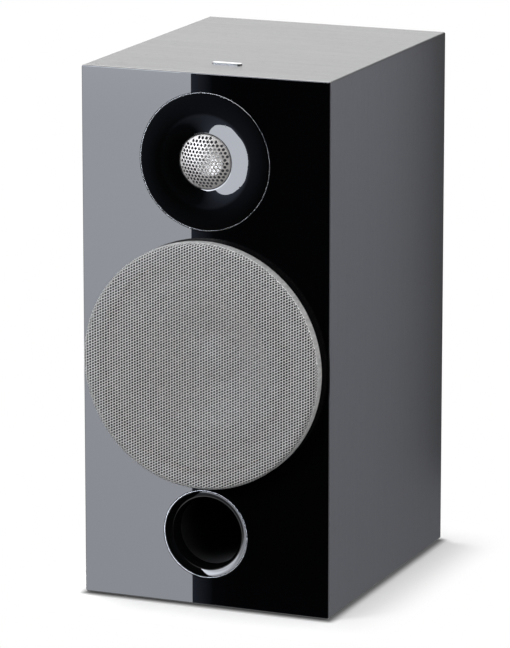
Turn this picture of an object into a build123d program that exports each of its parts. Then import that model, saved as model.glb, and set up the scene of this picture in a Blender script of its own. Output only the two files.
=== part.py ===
from build123d import *
from math import asin, cos, pi, radians, sin, sqrt, tan
import os

# Two-way bookshelf loudspeaker, in millimetres.
# +Z is up and the front faces -Y. The origin is on the floor, under the middle of the whole box.

# ---- Cabinet ----
wall = 15.0
baffle_thickness = 20.0
gloss_thickness = 2.0
rear_thickness = 15.0
cabinet_depth = 256.0
edge_radius = 1.5
gloss_edge_radius = 0.8
side_margin = 6.0
top_margin = 15.0
bottom_margin = 22.5
brace_thickness = 12.0
brace_rail = 22.0
brace_bar = 14.0
brace_corner = 18.0
wadding_thickness = 18.0
wadding_margin = 12.0
soft_gap = 0.3

# ---- Feet and badge ----
foot_height = 1.5
foot_radius = 9.0
foot_inset = 22.0
badge_length = 25.0
badge_width = 6.0
badge_height = 1.2
badge_setback = 46.0
badge_edge = 0.3

# ---- Shared fits ----
rebate_gap = 0.3
glue_gap = 0.03
pilot_gap = 0.05
screw_gap = 0.3
screw_rest = 2.0
gasket_thickness = 1.0

# ---- Woofer ----
woofer_radius = 86.0
woofer_flange = 5.0
screw_land = 11.0
surround_foot = 4.0
roll_radius = 7.0
rubber_thickness = 0.7
ledge_depth = 1.5
cone_lip = 4.0
cone_thickness = 0.9
cone_depth = 27.5
coil_radius = 17.0
former_thickness = 0.4
winding_thickness = 0.8
winding_height = 12.0
inner_running_gap = 0.8
outer_running_gap = 0.4
former_tail = 3.0
dust_cap_radius = 20.0
dust_cap_rise = 7.0
dust_cap_thickness = 0.8
basket_wall = 2.5
basket_lip_depth = 14.0
basket_depth = 58.0
basket_floor = 3.0
basket_spoke = 14.0
basket_opening = 24.0
spider_depth = 44.0
spider_radius = 43.0
spider_foot = 4.5
spider_thickness = 0.6
spider_wave = 1.5
spider_waves = 6
top_plate_radius = 45.0
top_plate_thickness = 6.0
magnet_radius = 50.0
magnet_bore = 26.0
magnet_thickness = 18.0
yoke_thickness = 6.0
yoke_vent = 6.0
woofer_screw_radius = 2.0
woofer_screw_head = 4.0
head_thickness = 2.4
head_sink = 0.2
hex_radius = 2.0
hex_depth = 1.5
woofer_screw_count = 6
cutout_gap = 1.0
lug_width = 20.0
lug_length = 13.0
lug_thickness = 4.0
tag_width = 4.8
tag_thickness = 0.8
tag_length = 16.0
tag_spacing = 11.0

# ---- Grille ----
grille_proud = 14.0
grille_overhang = 13.0
grille_ring_width = 11.0
grille_edge_radius = 6.0
cloth_thickness = 0.8
cloth_return = 1.6
grille_magnet_radius = 4.0
grille_magnet_thickness = 4.0
grille_magnet_count = 6
baffle_magnet_thickness = 5.0

# ---- Tweeter ----
faceplate_radius = 55.0
faceplate_thickness = 5.0
faceplate_bead = 1.0
bead_drop = 0.35
dish_start = 0.1
dish_radius = 36.0
dish_depth = 0.37
horn_radius = 23.2
horn_depth = 0.6
throat_radius = 21.6
throat_depth = 1.9
driver_gap = 8.0
chassis_radius = 50.0
chassis_thickness = 4.0
chassis_hub_radius = 36.0
chassis_hub_thickness = 3.0
tweeter_roll_radius = 1.2
tweeter_foot = 1.7
tweeter_rubber = 0.3
tweeter_ledge_depth = 2.0
tweeter_dome_radius = 13.4
tweeter_dome_sag = 3.2
tweeter_dome_thickness = 0.3
tweeter_coil_radius = 9.8
tweeter_former = 0.25
tweeter_winding = 0.3
tweeter_winding_height = 3.8
tweeter_gap = 0.35
tweeter_plate_radius = 30.0
tweeter_plate_thickness = 3.0
tweeter_magnet_bore = 16.0
tweeter_magnet_radius = 32.0
tweeter_magnet_thickness = 8.0
tweeter_yoke_thickness = 4.0
chamber_wall = 2.0
chamber_length = 38.0
tweeter_cutout_gap = 5.0
tweeter_screw_count = 4
tweeter_screw_radius = 1.5
tweeter_screw_head = 3.2
tweeter_head_thickness = 2.0
tweeter_tag_length = 14.0
dome_grille_rise = 7.6
dome_grille_thickness = 0.5
dome_grille_gap = 0.1
mesh_pitch = 3.15
mesh_hole_radius = 1.15
mesh_border = 1.25

# ---- Port ----
port_gap = 4.0
port_radius = 36.0
port_flange = 4.0
port_bead = 1.0
port_bead_drop = 0.3
port_throat_radius = 27.5
port_flare_depth = 12.0
port_stop = 2.0
port_tube_wall = 2.6
port_socket_wall = 2.4
port_socket_length = 26.0
port_tube_length = 151.0
port_fit = 0.05
port_hole_gap = 0.5

# ---- Terminals ----
terminal_rise = 95.0
cup_flange_width = 100.0
cup_flange_height = 76.0
cup_flange_thickness = 3.0
cup_corner = 6.0
cup_border = 10.5
cup_wall = 2.5
cup_depth = 28.0
cup_floor = 3.0
cup_screw_inset = 5.2
cup_screw_radius = 1.5
cup_screw_head = 3.0
cup_screw_length = 12.0
post_spacing = 26.0
post_radius = 4.0
post_end_depth = 2.0
post_tail = 9.0
post_fit = 0.08
socket_radius = 2.0
socket_depth = 16.5
wire_hole_radius = 1.5
collar_radius = 7.5
collar_height = 4.0
washer_radius = 7.0
washer_thickness = 1.2
cap_radius = 7.5
cap_end_depth = 4.0
cap_groove_radius = 0.7
cap_groove_count = 14
cap_edge = 0.6
nut_radius = 6.5
nut_height = 5.0
solder_tag_width = 7.0
solder_tag_reach = 16.0

# ---- Crossover ----
board_width = 110.0
board_height = 100.0
board_thickness = 1.6
board_rise = 62.0
board_edge = 7.0
standoff_radius = 3.5
standoff_height = 8.0
standoff_pin = 1.6
standoff_head = 2.4
standoff_barb = 1.4
standoff_root = 6.0
inductor_core = 7.0
inductor_radius = 20.0
inductor_height = 20.0
inductor_flange = 1.6
inductor_groove = 1.5
small_inductor_radius = 14.0
capacitor_radius = 8.0
capacitor_length = 30.0
capacitor_spacing = 20.0
lead_foot = 0.6
resistor_length = 25.0
resistor_width = 9.0
resistor_spacing = 13.0

# ---- Internal leads ----
lead_radius = 1.1
lead_spacing = 12.0
lead_margin = 6.0

# ---- Worked-out sizes ----
grille_radius = woofer_radius + grille_overhang
cabinet_width = 2 * (grille_radius + side_margin)
port_z = foot_height + bottom_margin + port_radius
woofer_z = port_z + port_radius + port_gap + grille_radius
tweeter_z = woofer_z + grille_radius + driver_gap + faceplate_radius
top_z = tweeter_z + faceplate_radius + top_margin
middle_z = (foot_height + top_z) / 2
cabinet_height = top_z - foot_height
inner_width = cabinet_width - 2 * wall
inner_height = cabinet_height - 2 * wall
face_y = grille_proud - (cabinet_depth + grille_proud) / 2
rear_y = face_y + cabinet_depth
inner_front_y = face_y + gloss_thickness + baffle_thickness
inner_rear_y = rear_y - rear_thickness
inner_depth = inner_rear_y - inner_front_y
brace_z = (woofer_z + woofer_radius + tweeter_z - faceplate_radius) / 2


def upright_plane(y, z):
    """Upright plane that faces the listener, centred on the cabinet's width."""
    return Plane(origin=(0, y, z), x_dir=(1, 0, 0), z_dir=(0, -1, 0))


def front_plane(z, depth=0.0):
    """Upright plane at a depth behind the gloss face."""
    return upright_plane(face_y + depth, z)


def section_plane(z):
    """Half-section plane whose x is a radius and whose y is a depth behind the gloss face."""
    return Plane(origin=(0, face_y, z), x_dir=(1, 0, 0), z_dir=(0, 0, 1))


def driver_axis(z):
    """Axis of a round opening at height z, pointing into the cabinet."""
    return Axis((0, face_y, z), (0, 1, 0))


def ring(inner, outer, front, back):
    """Rectangle in a half section, between two radii and two depths."""
    Polygon((inner, front), (outer, front), (outer, back), (inner, back), align=None)


def cap_radius_of_curve(rim, sag):
    """Radius of the sphere under a cap with this rim radius and height."""
    return (rim**2 + sag**2) / (2 * sag)


def cap_points(rim, rim_depth, peak_depth):
    """Start, middle and end of a spherical cap's section, from its rim to its axis."""
    sag = rim_depth - peak_depth
    curve = cap_radius_of_curve(rim, abs(sag))
    turn = asin(rim / curve) / 2
    rise = curve * (1 - cos(turn))
    middle_depth = peak_depth + (rise if sag > 0 else -rise)
    return (rim, rim_depth), (curve * sin(turn), middle_depth), (0, peak_depth)


# ==== Cabinet ====

sleeve_y = face_y + gloss_thickness
sleeve_depth = rear_y - sleeve_y
sleeve_plane = upright_plane(sleeve_y, middle_z)
half_width = cabinet_width / 2
half_height = cabinet_height / 2
inner_half_width = inner_width / 2
inner_half_height = inner_height / 2


def sleeve_section(*mitred):
    """One mitred side of the rounded sleeve."""
    RectangleRounded(cabinet_width, cabinet_height, edge_radius)
    Polygon(*mitred, align=None, mode=Mode.INTERSECT)


with BuildPart() as left_side_panel:
    with BuildSketch(sleeve_plane):
        sleeve_section(
            (-half_width, -half_height),
            (-inner_half_width, -inner_half_height),
            (-inner_half_width, inner_half_height),
            (-half_width, half_height),
        )
    extrude(amount=-sleeve_depth)

with BuildPart() as right_side_panel:
    add(left_side_panel.part)
    mirror(about=Plane.YZ, mode=Mode.REPLACE)

with BuildPart() as bottom_panel:
    with BuildSketch(sleeve_plane):
        sleeve_section(
            (-half_width, -half_height),
            (half_width, -half_height),
            (inner_half_width, -inner_half_height),
            (-inner_half_width, -inner_half_height),
        )
    extrude(amount=-sleeve_depth)

badge_y = face_y + badge_setback

with BuildPart() as top_panel:
    add(bottom_panel.part)
    mirror(about=Plane.XY.offset(middle_z), mode=Mode.REPLACE)

with BuildPart() as top_badge:
    with BuildSketch(Plane.XY.offset(top_z)):
        with Locations((0, badge_y)):
            SlotOverall(badge_length, badge_width)
    extrude(amount=badge_height)
    chamfer(top_badge.faces().sort_by(Axis.Z)[-1].edges(), badge_edge)

# Radii of the stepped holes that the drivers and the port sit in.
woofer_rebate = woofer_radius + rebate_gap
ledge_radius = woofer_radius - screw_land
basket_radius = ledge_radius - basket_wall
woofer_cutout = basket_radius + cutout_gap
faceplate_rebate = faceplate_radius + rebate_gap
chassis_rebate = chassis_radius + rebate_gap
tweeter_cutout = chassis_hub_radius + tweeter_cutout_gap
port_rebate = port_radius + rebate_gap
port_tube_radius = port_throat_radius + port_tube_wall
port_socket_radius = port_tube_radius + port_fit + port_socket_wall
port_cutout = port_socket_radius + port_hole_gap

woofer_seat = woofer_flange + gasket_thickness
chassis_seat = faceplate_thickness + chassis_thickness + gasket_thickness
woofer_screw_circle = woofer_radius - screw_land / 2
tweeter_screw_circle = (chassis_radius + tweeter_cutout) / 2
grille_magnet_circle = grille_radius - cloth_thickness - grille_ring_width / 2
baffle_depth = gloss_thickness + baffle_thickness
holes_to_front = [
    (woofer_z, woofer_rebate, woofer_seat),
    (woofer_z, woofer_cutout, baffle_depth),
    (tweeter_z, faceplate_rebate, faceplate_thickness),
    (tweeter_z, chassis_rebate, chassis_seat),
    (tweeter_z, tweeter_cutout, baffle_depth),
    (port_z, port_rebate, port_flange),
    (port_z, port_cutout, baffle_depth),
]
screw_end = baffle_depth - screw_rest

with BuildPart() as front_baffle:
    with BuildSketch(front_plane(middle_z, gloss_thickness)):
        Rectangle(inner_width, inner_height)
    extrude(amount=-baffle_thickness)
    for hole_z, hole_radius, hole_depth in holes_to_front:
        with BuildSketch(front_plane(hole_z)):
            Circle(hole_radius)
        extrude(amount=-hole_depth, mode=Mode.SUBTRACT)
    with BuildSketch(front_plane(woofer_z)):
        with PolarLocations(woofer_screw_circle, woofer_screw_count):
            Circle(woofer_screw_radius + pilot_gap)
    extrude(amount=-(screw_end + pilot_gap), mode=Mode.SUBTRACT)
    with BuildSketch(front_plane(tweeter_z)):
        with PolarLocations(tweeter_screw_circle, tweeter_screw_count, start_angle=45):
            Circle(tweeter_screw_radius + pilot_gap)
    extrude(amount=-(screw_end + pilot_gap), mode=Mode.SUBTRACT)
    with BuildSketch(front_plane(woofer_z, gloss_thickness)):
        with PolarLocations(grille_magnet_circle, grille_magnet_count, start_angle=30):
            Circle(grille_magnet_radius + pilot_gap)
    extrude(amount=-(baffle_magnet_thickness + pilot_gap), mode=Mode.SUBTRACT)

with BuildPart() as baffle_magnets:
    with BuildSketch(front_plane(woofer_z, gloss_thickness)):
        with PolarLocations(grille_magnet_circle, grille_magnet_count, start_angle=30):
            Circle(grille_magnet_radius)
    extrude(amount=-baffle_magnet_thickness)

with BuildPart() as gloss_front_panel:
    with BuildSketch(front_plane(middle_z)):
        RectangleRounded(cabinet_width, cabinet_height, edge_radius)
    extrude(amount=-gloss_thickness)
    fillet(gloss_front_panel.faces().sort_by(Axis.Y)[0].edges(), gloss_edge_radius)
    for hole_z, hole_radius, hole_depth in holes_to_front:
        with BuildSketch(front_plane(hole_z)):
            Circle(hole_radius)
        extrude(amount=-gloss_thickness, mode=Mode.SUBTRACT)

terminal_z = foot_height + terminal_rise
board_z = terminal_z + board_rise + board_height / 2
cup_body_width = cup_flange_width - 2 * cup_border
cup_body_height = cup_flange_height - 2 * cup_border
cup_screw_x = cup_flange_width - 2 * cup_screw_inset
cup_screw_z = cup_flange_height - 2 * cup_screw_inset
cup_screw_end = head_sink + cup_screw_length
standoff_x = board_width - 2 * board_edge
standoff_z = board_height - 2 * board_edge
cup_plane = upright_plane(rear_y, terminal_z)
board_plane = upright_plane(inner_rear_y, board_z)

with BuildPart() as rear_panel:
    with BuildSketch(upright_plane(rear_y, middle_z)):
        Rectangle(inner_width, inner_height)
    extrude(amount=rear_thickness)
    with BuildSketch(cup_plane):
        RectangleRounded(
            cup_flange_width + 2 * rebate_gap, cup_flange_height + 2 * rebate_gap, cup_corner + rebate_gap
        )
    extrude(amount=cup_flange_thickness, mode=Mode.SUBTRACT)
    with BuildSketch(cup_plane):
        RectangleRounded(
            cup_body_width + 2 * rebate_gap, cup_body_height + 2 * rebate_gap, cup_corner + rebate_gap
        )
    extrude(amount=rear_thickness, mode=Mode.SUBTRACT)
    with BuildSketch(cup_plane):
        with GridLocations(cup_screw_x, cup_screw_z, 2, 2):
            Circle(cup_screw_radius + pilot_gap)
    extrude(amount=cup_screw_end + pilot_gap, mode=Mode.SUBTRACT)
    with BuildSketch(board_plane):
        with GridLocations(standoff_x, standoff_z, 2, 2):
            Circle(standoff_pin + pilot_gap)
    extrude(amount=-(standoff_root + pilot_gap), mode=Mode.SUBTRACT)

window_width = inner_width - 2 * brace_rail
window_depth = (inner_depth - 2 * brace_rail - brace_bar) / 2

with BuildPart() as window_brace:
    with BuildSketch(Plane.XY.offset(brace_z - brace_thickness / 2)):
        with Locations((0, (inner_front_y + inner_rear_y) / 2)):
            Rectangle(inner_width, inner_depth)
            with GridLocations(0, window_depth + brace_bar, 1, 2):
                RectangleRounded(window_width, window_depth, brace_corner, mode=Mode.SUBTRACT)
    extrude(amount=brace_thickness)

wadding_low = foot_height + wall + wadding_margin
wadding_high = brace_z - brace_thickness / 2 - wadding_margin
wadding_x = inner_width - 2 * soft_gap - wadding_thickness

with BuildPart() as acoustic_wadding:
    with BuildSketch(Plane.XY.offset(wadding_low)):
        with Locations((0, (inner_front_y + inner_rear_y) / 2)):
            with GridLocations(wadding_x, 0, 2, 1):
                RectangleRounded(wadding_thickness, inner_depth - 2 * wadding_margin, wadding_thickness / 3)
    extrude(amount=wadding_high - wadding_low)

with BuildPart() as foot_pads:
    with BuildSketch():
        with Locations((0, (face_y + rear_y) / 2)):
            with GridLocations(cabinet_width - 2 * foot_inset, cabinet_depth - 2 * foot_inset, 2, 2):
                Circle(foot_radius)
    extrude(amount=foot_height)

# ==== Woofer ====

woofer_section = section_plane(woofer_z)
woofer_axis = driver_axis(woofer_z)
roll_outer = ledge_radius - surround_foot
roll_inner = roll_outer - 2 * roll_radius
lip_inner = roll_inner - cone_lip
former_outer = coil_radius + former_thickness
winding_outer = former_outer + glue_gap + winding_thickness
neck_radius = former_outer + glue_gap
magnet_front = basket_depth + top_plate_thickness
magnet_back = magnet_front + magnet_thickness
winding_middle = basket_depth + top_plate_thickness / 2
winding_front = winding_middle - winding_height / 2
winding_back = winding_middle + winding_height / 2
pole_radius = coil_radius - inner_running_gap
plate_bore = winding_outer + outer_running_gap
basket_ring_radius = magnet_radius + 1


def cone_front(radius):
    """Depth of the cone's front surface at a radius."""
    return ledge_depth + cone_depth * (lip_inner - radius) / (lip_inner - neck_radius)


def spoke_cutter(inner, outer, spoke, count):
    """Ring of windows that leaves straight spokes."""
    Circle(outer)
    Circle(inner, mode=Mode.SUBTRACT)
    with PolarLocations(0, count):
        with Locations(((inner + outer) / 2, 0)):
            Rectangle(outer - inner + spoke, spoke, mode=Mode.SUBTRACT)


with BuildPart() as woofer_basket:
    with BuildSketch(woofer_section):
        Polygon(
            (ledge_radius, 0),
            (woofer_radius, 0),
            (woofer_radius, woofer_flange),
            (basket_radius, woofer_flange),
            (basket_radius, basket_lip_depth),
            (basket_ring_radius, basket_depth - 2 * basket_floor),
            (basket_ring_radius, basket_depth),
            (basket_opening, basket_depth),
            (basket_opening, basket_depth - basket_floor),
            (spider_radius - spider_foot, basket_depth - basket_floor),
            (spider_radius - spider_foot, spider_depth),
            (spider_radius + 1, spider_depth),
            (basket_radius - basket_wall, basket_lip_depth - basket_wall),
            (basket_radius - basket_wall, ledge_depth),
            (ledge_radius, ledge_depth),
            align=None,
        )
    revolve(axis=woofer_axis)
    with BuildSketch(front_plane(woofer_z, basket_lip_depth + basket_wall)):
        spoke_cutter(basket_ring_radius, woofer_radius, basket_spoke, woofer_screw_count)
    extrude(amount=-(basket_depth - basket_lip_depth), mode=Mode.SUBTRACT)
    with BuildSketch(front_plane(woofer_z)):
        with PolarLocations(woofer_screw_circle, woofer_screw_count):
            Circle(woofer_screw_radius + screw_gap)
    extrude(amount=-woofer_flange, mode=Mode.SUBTRACT)
    with BuildSketch(front_plane(woofer_z)):
        with PolarLocations(woofer_screw_circle, woofer_screw_count):
            Circle(woofer_screw_head + screw_gap)
    extrude(amount=-(head_sink + head_thickness), mode=Mode.SUBTRACT)
    with BuildSketch(front_plane(woofer_z, basket_depth - lug_thickness)):
        with Locations((0, basket_ring_radius + lug_length / 2 - basket_floor)):
            Rectangle(lug_width, lug_length)
    extrude(amount=-lug_thickness)

with BuildPart() as woofer_gasket:
    with BuildSketch(front_plane(woofer_z, woofer_flange)):
        Circle(woofer_radius - soft_gap)
        Circle(woofer_cutout, mode=Mode.SUBTRACT)
        with PolarLocations(woofer_screw_circle, woofer_screw_count):
            Circle(woofer_screw_radius + screw_gap, mode=Mode.SUBTRACT)
    extrude(amount=-gasket_thickness)

with BuildPart() as woofer_screws:
    with BuildSketch(front_plane(woofer_z, head_sink)):
        with PolarLocations(woofer_screw_circle, woofer_screw_count):
            Circle(woofer_screw_head)
    extrude(amount=-head_thickness)
    with BuildSketch(front_plane(woofer_z, head_sink)):
        with PolarLocations(woofer_screw_circle, woofer_screw_count):
            Circle(woofer_screw_radius)
    extrude(amount=-(screw_end - head_sink))
    with BuildSketch(front_plane(woofer_z, head_sink)):
        with PolarLocations(woofer_screw_circle, woofer_screw_count):
            RegularPolygon(hex_radius, 6)
    extrude(amount=-hex_depth, mode=Mode.SUBTRACT)

with BuildPart() as woofer_cone:
    with BuildSketch(woofer_section):
        Polygon(
            (roll_inner, ledge_depth),
            (lip_inner, ledge_depth),
            (neck_radius, cone_front(neck_radius)),
            (neck_radius, cone_front(neck_radius) + 1.5 * cone_thickness),
            (lip_inner + cone_thickness / 2, ledge_depth + cone_thickness),
            (roll_inner, ledge_depth + cone_thickness),
            align=None,
        )
    revolve(axis=woofer_axis)

with BuildPart() as woofer_surround:
    rubber_front = ledge_depth - rubber_thickness
    roll_middle = (roll_inner + roll_outer) / 2
    inner_roll = roll_radius - rubber_thickness
    with BuildSketch(woofer_section):
        with BuildLine():
            ThreePointArc(
                (roll_outer, rubber_front),
                (roll_middle, rubber_front - roll_radius),
                (roll_inner, rubber_front),
            )
            Polyline(
                (roll_inner, rubber_front),
                (lip_inner, rubber_front),
                (lip_inner, ledge_depth),
                (roll_middle - inner_roll, ledge_depth),
                (roll_middle - inner_roll, rubber_front),
            )
            ThreePointArc(
                (roll_middle - inner_roll, rubber_front),
                (roll_middle, rubber_front - inner_roll),
                (roll_middle + inner_roll, rubber_front),
            )
            Polyline(
                (roll_middle + inner_roll, rubber_front),
                (roll_middle + inner_roll, ledge_depth),
                (ledge_radius - soft_gap, ledge_depth),
                (ledge_radius - soft_gap, rubber_front),
                (roll_outer, rubber_front),
            )
        make_face()
    revolve(axis=woofer_axis)

with BuildPart() as woofer_dust_cap:
    cap_inner = dust_cap_radius - dust_cap_thickness
    cap_rim = cone_front(dust_cap_radius) - pilot_gap
    cap_inner_rim = cone_front(cap_inner) - pilot_gap
    outer_cap = cap_points(dust_cap_radius, cap_rim, cap_rim - dust_cap_rise)
    inner_cap = cap_points(cap_inner, cap_inner_rim, cap_rim - dust_cap_rise + dust_cap_thickness)
    with BuildSketch(woofer_section):
        with BuildLine():
            ThreePointArc(*outer_cap)
            Line(outer_cap[2], inner_cap[2])
            ThreePointArc(*reversed(inner_cap))
            Line(inner_cap[0], outer_cap[0])
        make_face()
    revolve(axis=woofer_axis)

with BuildPart() as woofer_spider:
    wave_start = former_outer + spider_foot / 2
    wave_end = spider_radius - spider_foot
    wave_step = (wave_end - wave_start) / spider_waves
    spider_front = spider_depth - spider_thickness
    with BuildSketch(woofer_section):
        with BuildLine():
            for surface in (spider_front, spider_depth):
                Line((neck_radius, surface), (wave_start, surface))
                for wave in range(spider_waves):
                    low = wave_start + wave * wave_step
                    bulge = spider_wave if wave % 2 else -spider_wave
                    ThreePointArc(
                        (low, surface), (low + wave_step / 2, surface + bulge), (low + wave_step, surface)
                    )
                Line((wave_end, surface), (spider_radius, surface))
            Line((neck_radius, spider_front), (neck_radius, spider_depth))
            Line((spider_radius, spider_front), (spider_radius, spider_depth))
        make_face()
    revolve(axis=woofer_axis)

with BuildPart() as woofer_coil_former:
    with BuildSketch(woofer_section):
        ring(coil_radius, former_outer, cone_front(neck_radius), winding_back + former_tail)
    revolve(axis=woofer_axis)

with BuildPart() as woofer_voice_coil:
    with BuildSketch(woofer_section):
        ring(former_outer + glue_gap, winding_outer, winding_front, winding_back)
    revolve(axis=woofer_axis)

with BuildPart() as woofer_top_plate:
    with BuildSketch(woofer_section):
        ring(plate_bore, top_plate_radius, basket_depth, magnet_front)
    revolve(axis=woofer_axis)

with BuildPart() as woofer_magnet:
    with BuildSketch(woofer_section):
        ring(magnet_bore, magnet_radius, magnet_front, magnet_back)
    revolve(axis=woofer_axis)

with BuildPart() as woofer_yoke:
    with BuildSketch(woofer_section):
        Polygon(
            (yoke_vent, basket_depth),
            (pole_radius, basket_depth),
            (pole_radius, magnet_back),
            (top_plate_radius, magnet_back),
            (top_plate_radius, magnet_back + yoke_thickness),
            (yoke_vent, magnet_back + yoke_thickness),
            align=None,
        )
    revolve(axis=woofer_axis)

woofer_tag_start = basket_ring_radius + glue_gap
with BuildPart() as woofer_tags:
    with BuildSketch(front_plane(woofer_z, basket_depth)):
        with Locations((0, woofer_tag_start + tag_length / 2)):
            with GridLocations(tag_spacing, 0, 2, 1):
                Rectangle(tag_width, tag_length)
    extrude(amount=-tag_thickness)

# ==== Woofer grille ====

grille_front = -grille_proud
cloth_inner_radius = grille_radius - cloth_thickness
frame_front = grille_front + cloth_thickness
frame_back = -cloth_thickness
frame_edge_radius = grille_edge_radius - cloth_thickness
frame_inner_radius = cloth_inner_radius - grille_ring_width


def eased_corner(radius, front, bend):
    """Quarter round from the flat front to the side of the grille."""
    TangentArc((radius - bend, front), (radius, front + bend), tangent=(1, 0))


with BuildPart() as grille_frame:
    frame_outer_radius = cloth_inner_radius - pilot_gap
    with BuildSketch(woofer_section):
        with BuildLine():
            eased_corner(frame_outer_radius, frame_front, frame_edge_radius)
            Polyline(
                (frame_outer_radius, frame_front + frame_edge_radius),
                (frame_outer_radius, frame_back),
                (frame_inner_radius, frame_back),
                (frame_inner_radius, frame_front),
                (frame_outer_radius - frame_edge_radius, frame_front),
            )
        make_face()
    revolve(axis=woofer_axis)
    with BuildSketch(front_plane(woofer_z, frame_back)):
        with PolarLocations(grille_magnet_circle, grille_magnet_count, start_angle=30):
            Circle(grille_magnet_radius + pilot_gap)
    extrude(amount=grille_magnet_thickness, mode=Mode.SUBTRACT)

with BuildPart() as grille_magnets:
    with BuildSketch(front_plane(woofer_z, frame_back)):
        with PolarLocations(grille_magnet_circle, grille_magnet_count, start_angle=30):
            Circle(grille_magnet_radius)
    extrude(amount=grille_magnet_thickness)

with BuildPart() as grille_cloth:
    with BuildSketch(woofer_section):
        with BuildLine():
            eased_corner(grille_radius, grille_front, grille_edge_radius)
            eased_corner(cloth_inner_radius, frame_front, frame_edge_radius)
            Polyline(
                (grille_radius, grille_front + grille_edge_radius),
                (grille_radius, 0),
                (cloth_inner_radius - cloth_return, 0),
                (cloth_inner_radius - cloth_return, frame_back),
                (cloth_inner_radius, frame_back),
                (cloth_inner_radius, frame_front + frame_edge_radius),
            )
            Polyline(
                (grille_radius - grille_edge_radius, grille_front),
                (0, grille_front),
                (0, frame_front),
                (cloth_inner_radius - frame_edge_radius, frame_front),
            )
        make_face()
    revolve(axis=woofer_axis)

# ==== Tweeter ====

tweeter_section = section_plane(tweeter_z)
tweeter_axis = driver_axis(tweeter_z)
chassis_back = faceplate_thickness + chassis_thickness
hub_back = chassis_back + chassis_hub_thickness
tweeter_ledge = faceplate_thickness + tweeter_ledge_depth
tweeter_roll_inner = tweeter_dome_radius
tweeter_roll_outer = tweeter_roll_inner + 2 * tweeter_roll_radius
tweeter_foot_outer = tweeter_roll_outer + tweeter_foot
chassis_mouth = tweeter_foot_outer + 2 * pilot_gap
dome_centre = tweeter_ledge + tweeter_dome_sag
tweeter_former_outer = tweeter_coil_radius + tweeter_former
tweeter_winding_outer = tweeter_former_outer + tweeter_winding
tweeter_winding_middle = hub_back + tweeter_plate_thickness / 2
tweeter_magnet_front = hub_back + tweeter_plate_thickness
tweeter_magnet_back = tweeter_magnet_front + tweeter_magnet_thickness
chamber_radius = chassis_hub_radius
chamber_bore = chamber_radius - chamber_wall

with BuildPart() as tweeter_faceplate:
    with BuildSketch(tweeter_section):
        bead_inner = faceplate_radius - faceplate_bead
        dish_slope = (dish_radius - bead_inner, dish_depth - dish_start)
        with BuildLine():
            brow = TangentArc(
                (dish_radius, dish_depth), (horn_radius, horn_depth), tangent=dish_slope
            )
            TangentArc(
                (horn_radius, horn_depth), (throat_radius, throat_depth), tangent=brow % 1
            )
            Polyline(
                (throat_radius, throat_depth),
                (throat_radius, faceplate_thickness),
                (faceplate_radius, faceplate_thickness),
                (faceplate_radius, bead_drop),
                (faceplate_radius - bead_drop, 0),
                (bead_inner + dish_start, 0),
                (bead_inner, dish_start),
                (dish_radius, dish_depth),
            )
        make_face()
    revolve(axis=tweeter_axis)

with BuildPart() as tweeter_chassis:
    with BuildSketch(tweeter_section):
        Polygon(
            (chassis_mouth, faceplate_thickness),
            (chassis_radius, faceplate_thickness),
            (chassis_radius, chassis_back),
            (chassis_hub_radius, chassis_back),
            (chassis_hub_radius, hub_back),
            (tweeter_roll_outer, hub_back),
            (tweeter_roll_outer, tweeter_ledge),
            (chassis_mouth, tweeter_ledge),
            align=None,
        )
    revolve(axis=tweeter_axis)
    with BuildSketch(front_plane(tweeter_z, faceplate_thickness)):
        with PolarLocations(tweeter_screw_circle, tweeter_screw_count, start_angle=45):
            Circle(tweeter_screw_radius + screw_gap)
    extrude(amount=-chassis_thickness, mode=Mode.SUBTRACT)
    with BuildSketch(front_plane(tweeter_z, faceplate_thickness)):
        with PolarLocations(tweeter_screw_circle, tweeter_screw_count, start_angle=45):
            Circle(tweeter_screw_head + screw_gap)
    extrude(amount=-(tweeter_head_thickness + head_sink), mode=Mode.SUBTRACT)

with BuildPart() as tweeter_gasket:
    with BuildSketch(front_plane(tweeter_z, chassis_back)):
        Circle(chassis_radius - soft_gap)
        Circle(tweeter_cutout, mode=Mode.SUBTRACT)
        with PolarLocations(tweeter_screw_circle, tweeter_screw_count, start_angle=45):
            Circle(tweeter_screw_radius + screw_gap, mode=Mode.SUBTRACT)
    extrude(amount=-gasket_thickness)

with BuildPart() as tweeter_screws:
    tweeter_head_front = faceplate_thickness + head_sink
    with BuildSketch(front_plane(tweeter_z, tweeter_head_front)):
        with PolarLocations(tweeter_screw_circle, tweeter_screw_count, start_angle=45):
            Circle(tweeter_screw_head)
    extrude(amount=-tweeter_head_thickness)
    with BuildSketch(front_plane(tweeter_z, tweeter_head_front)):
        with PolarLocations(tweeter_screw_circle, tweeter_screw_count, start_angle=45):
            Circle(tweeter_screw_radius)
    extrude(amount=-(screw_end - tweeter_head_front))
    with BuildSketch(front_plane(tweeter_z, tweeter_head_front)):
        with PolarLocations(tweeter_screw_circle, tweeter_screw_count, start_angle=45):
            RegularPolygon(tweeter_screw_radius, 6)
    extrude(amount=-tweeter_head_thickness / 2, mode=Mode.SUBTRACT)

dome_grille_radius = throat_radius - dome_grille_gap
dome_grille_inner = dome_grille_radius - dome_grille_thickness
mesh_reach = dome_grille_inner - mesh_border
mesh_rows = int(mesh_reach / (mesh_pitch * sqrt(3) / 2)) + 1
mesh_columns = int(mesh_reach / mesh_pitch) + 1
mesh_points = [
    (mesh_pitch * (column + 0.5 * (row % 2)), mesh_pitch * row * sqrt(3) / 2)
    for row in range(-mesh_rows, mesh_rows + 1)
    for column in range(-mesh_columns - 1, mesh_columns + 1)
]
mesh_points = [(x, z) for x, z in mesh_points if x**2 + z**2 < mesh_reach**2]

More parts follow.
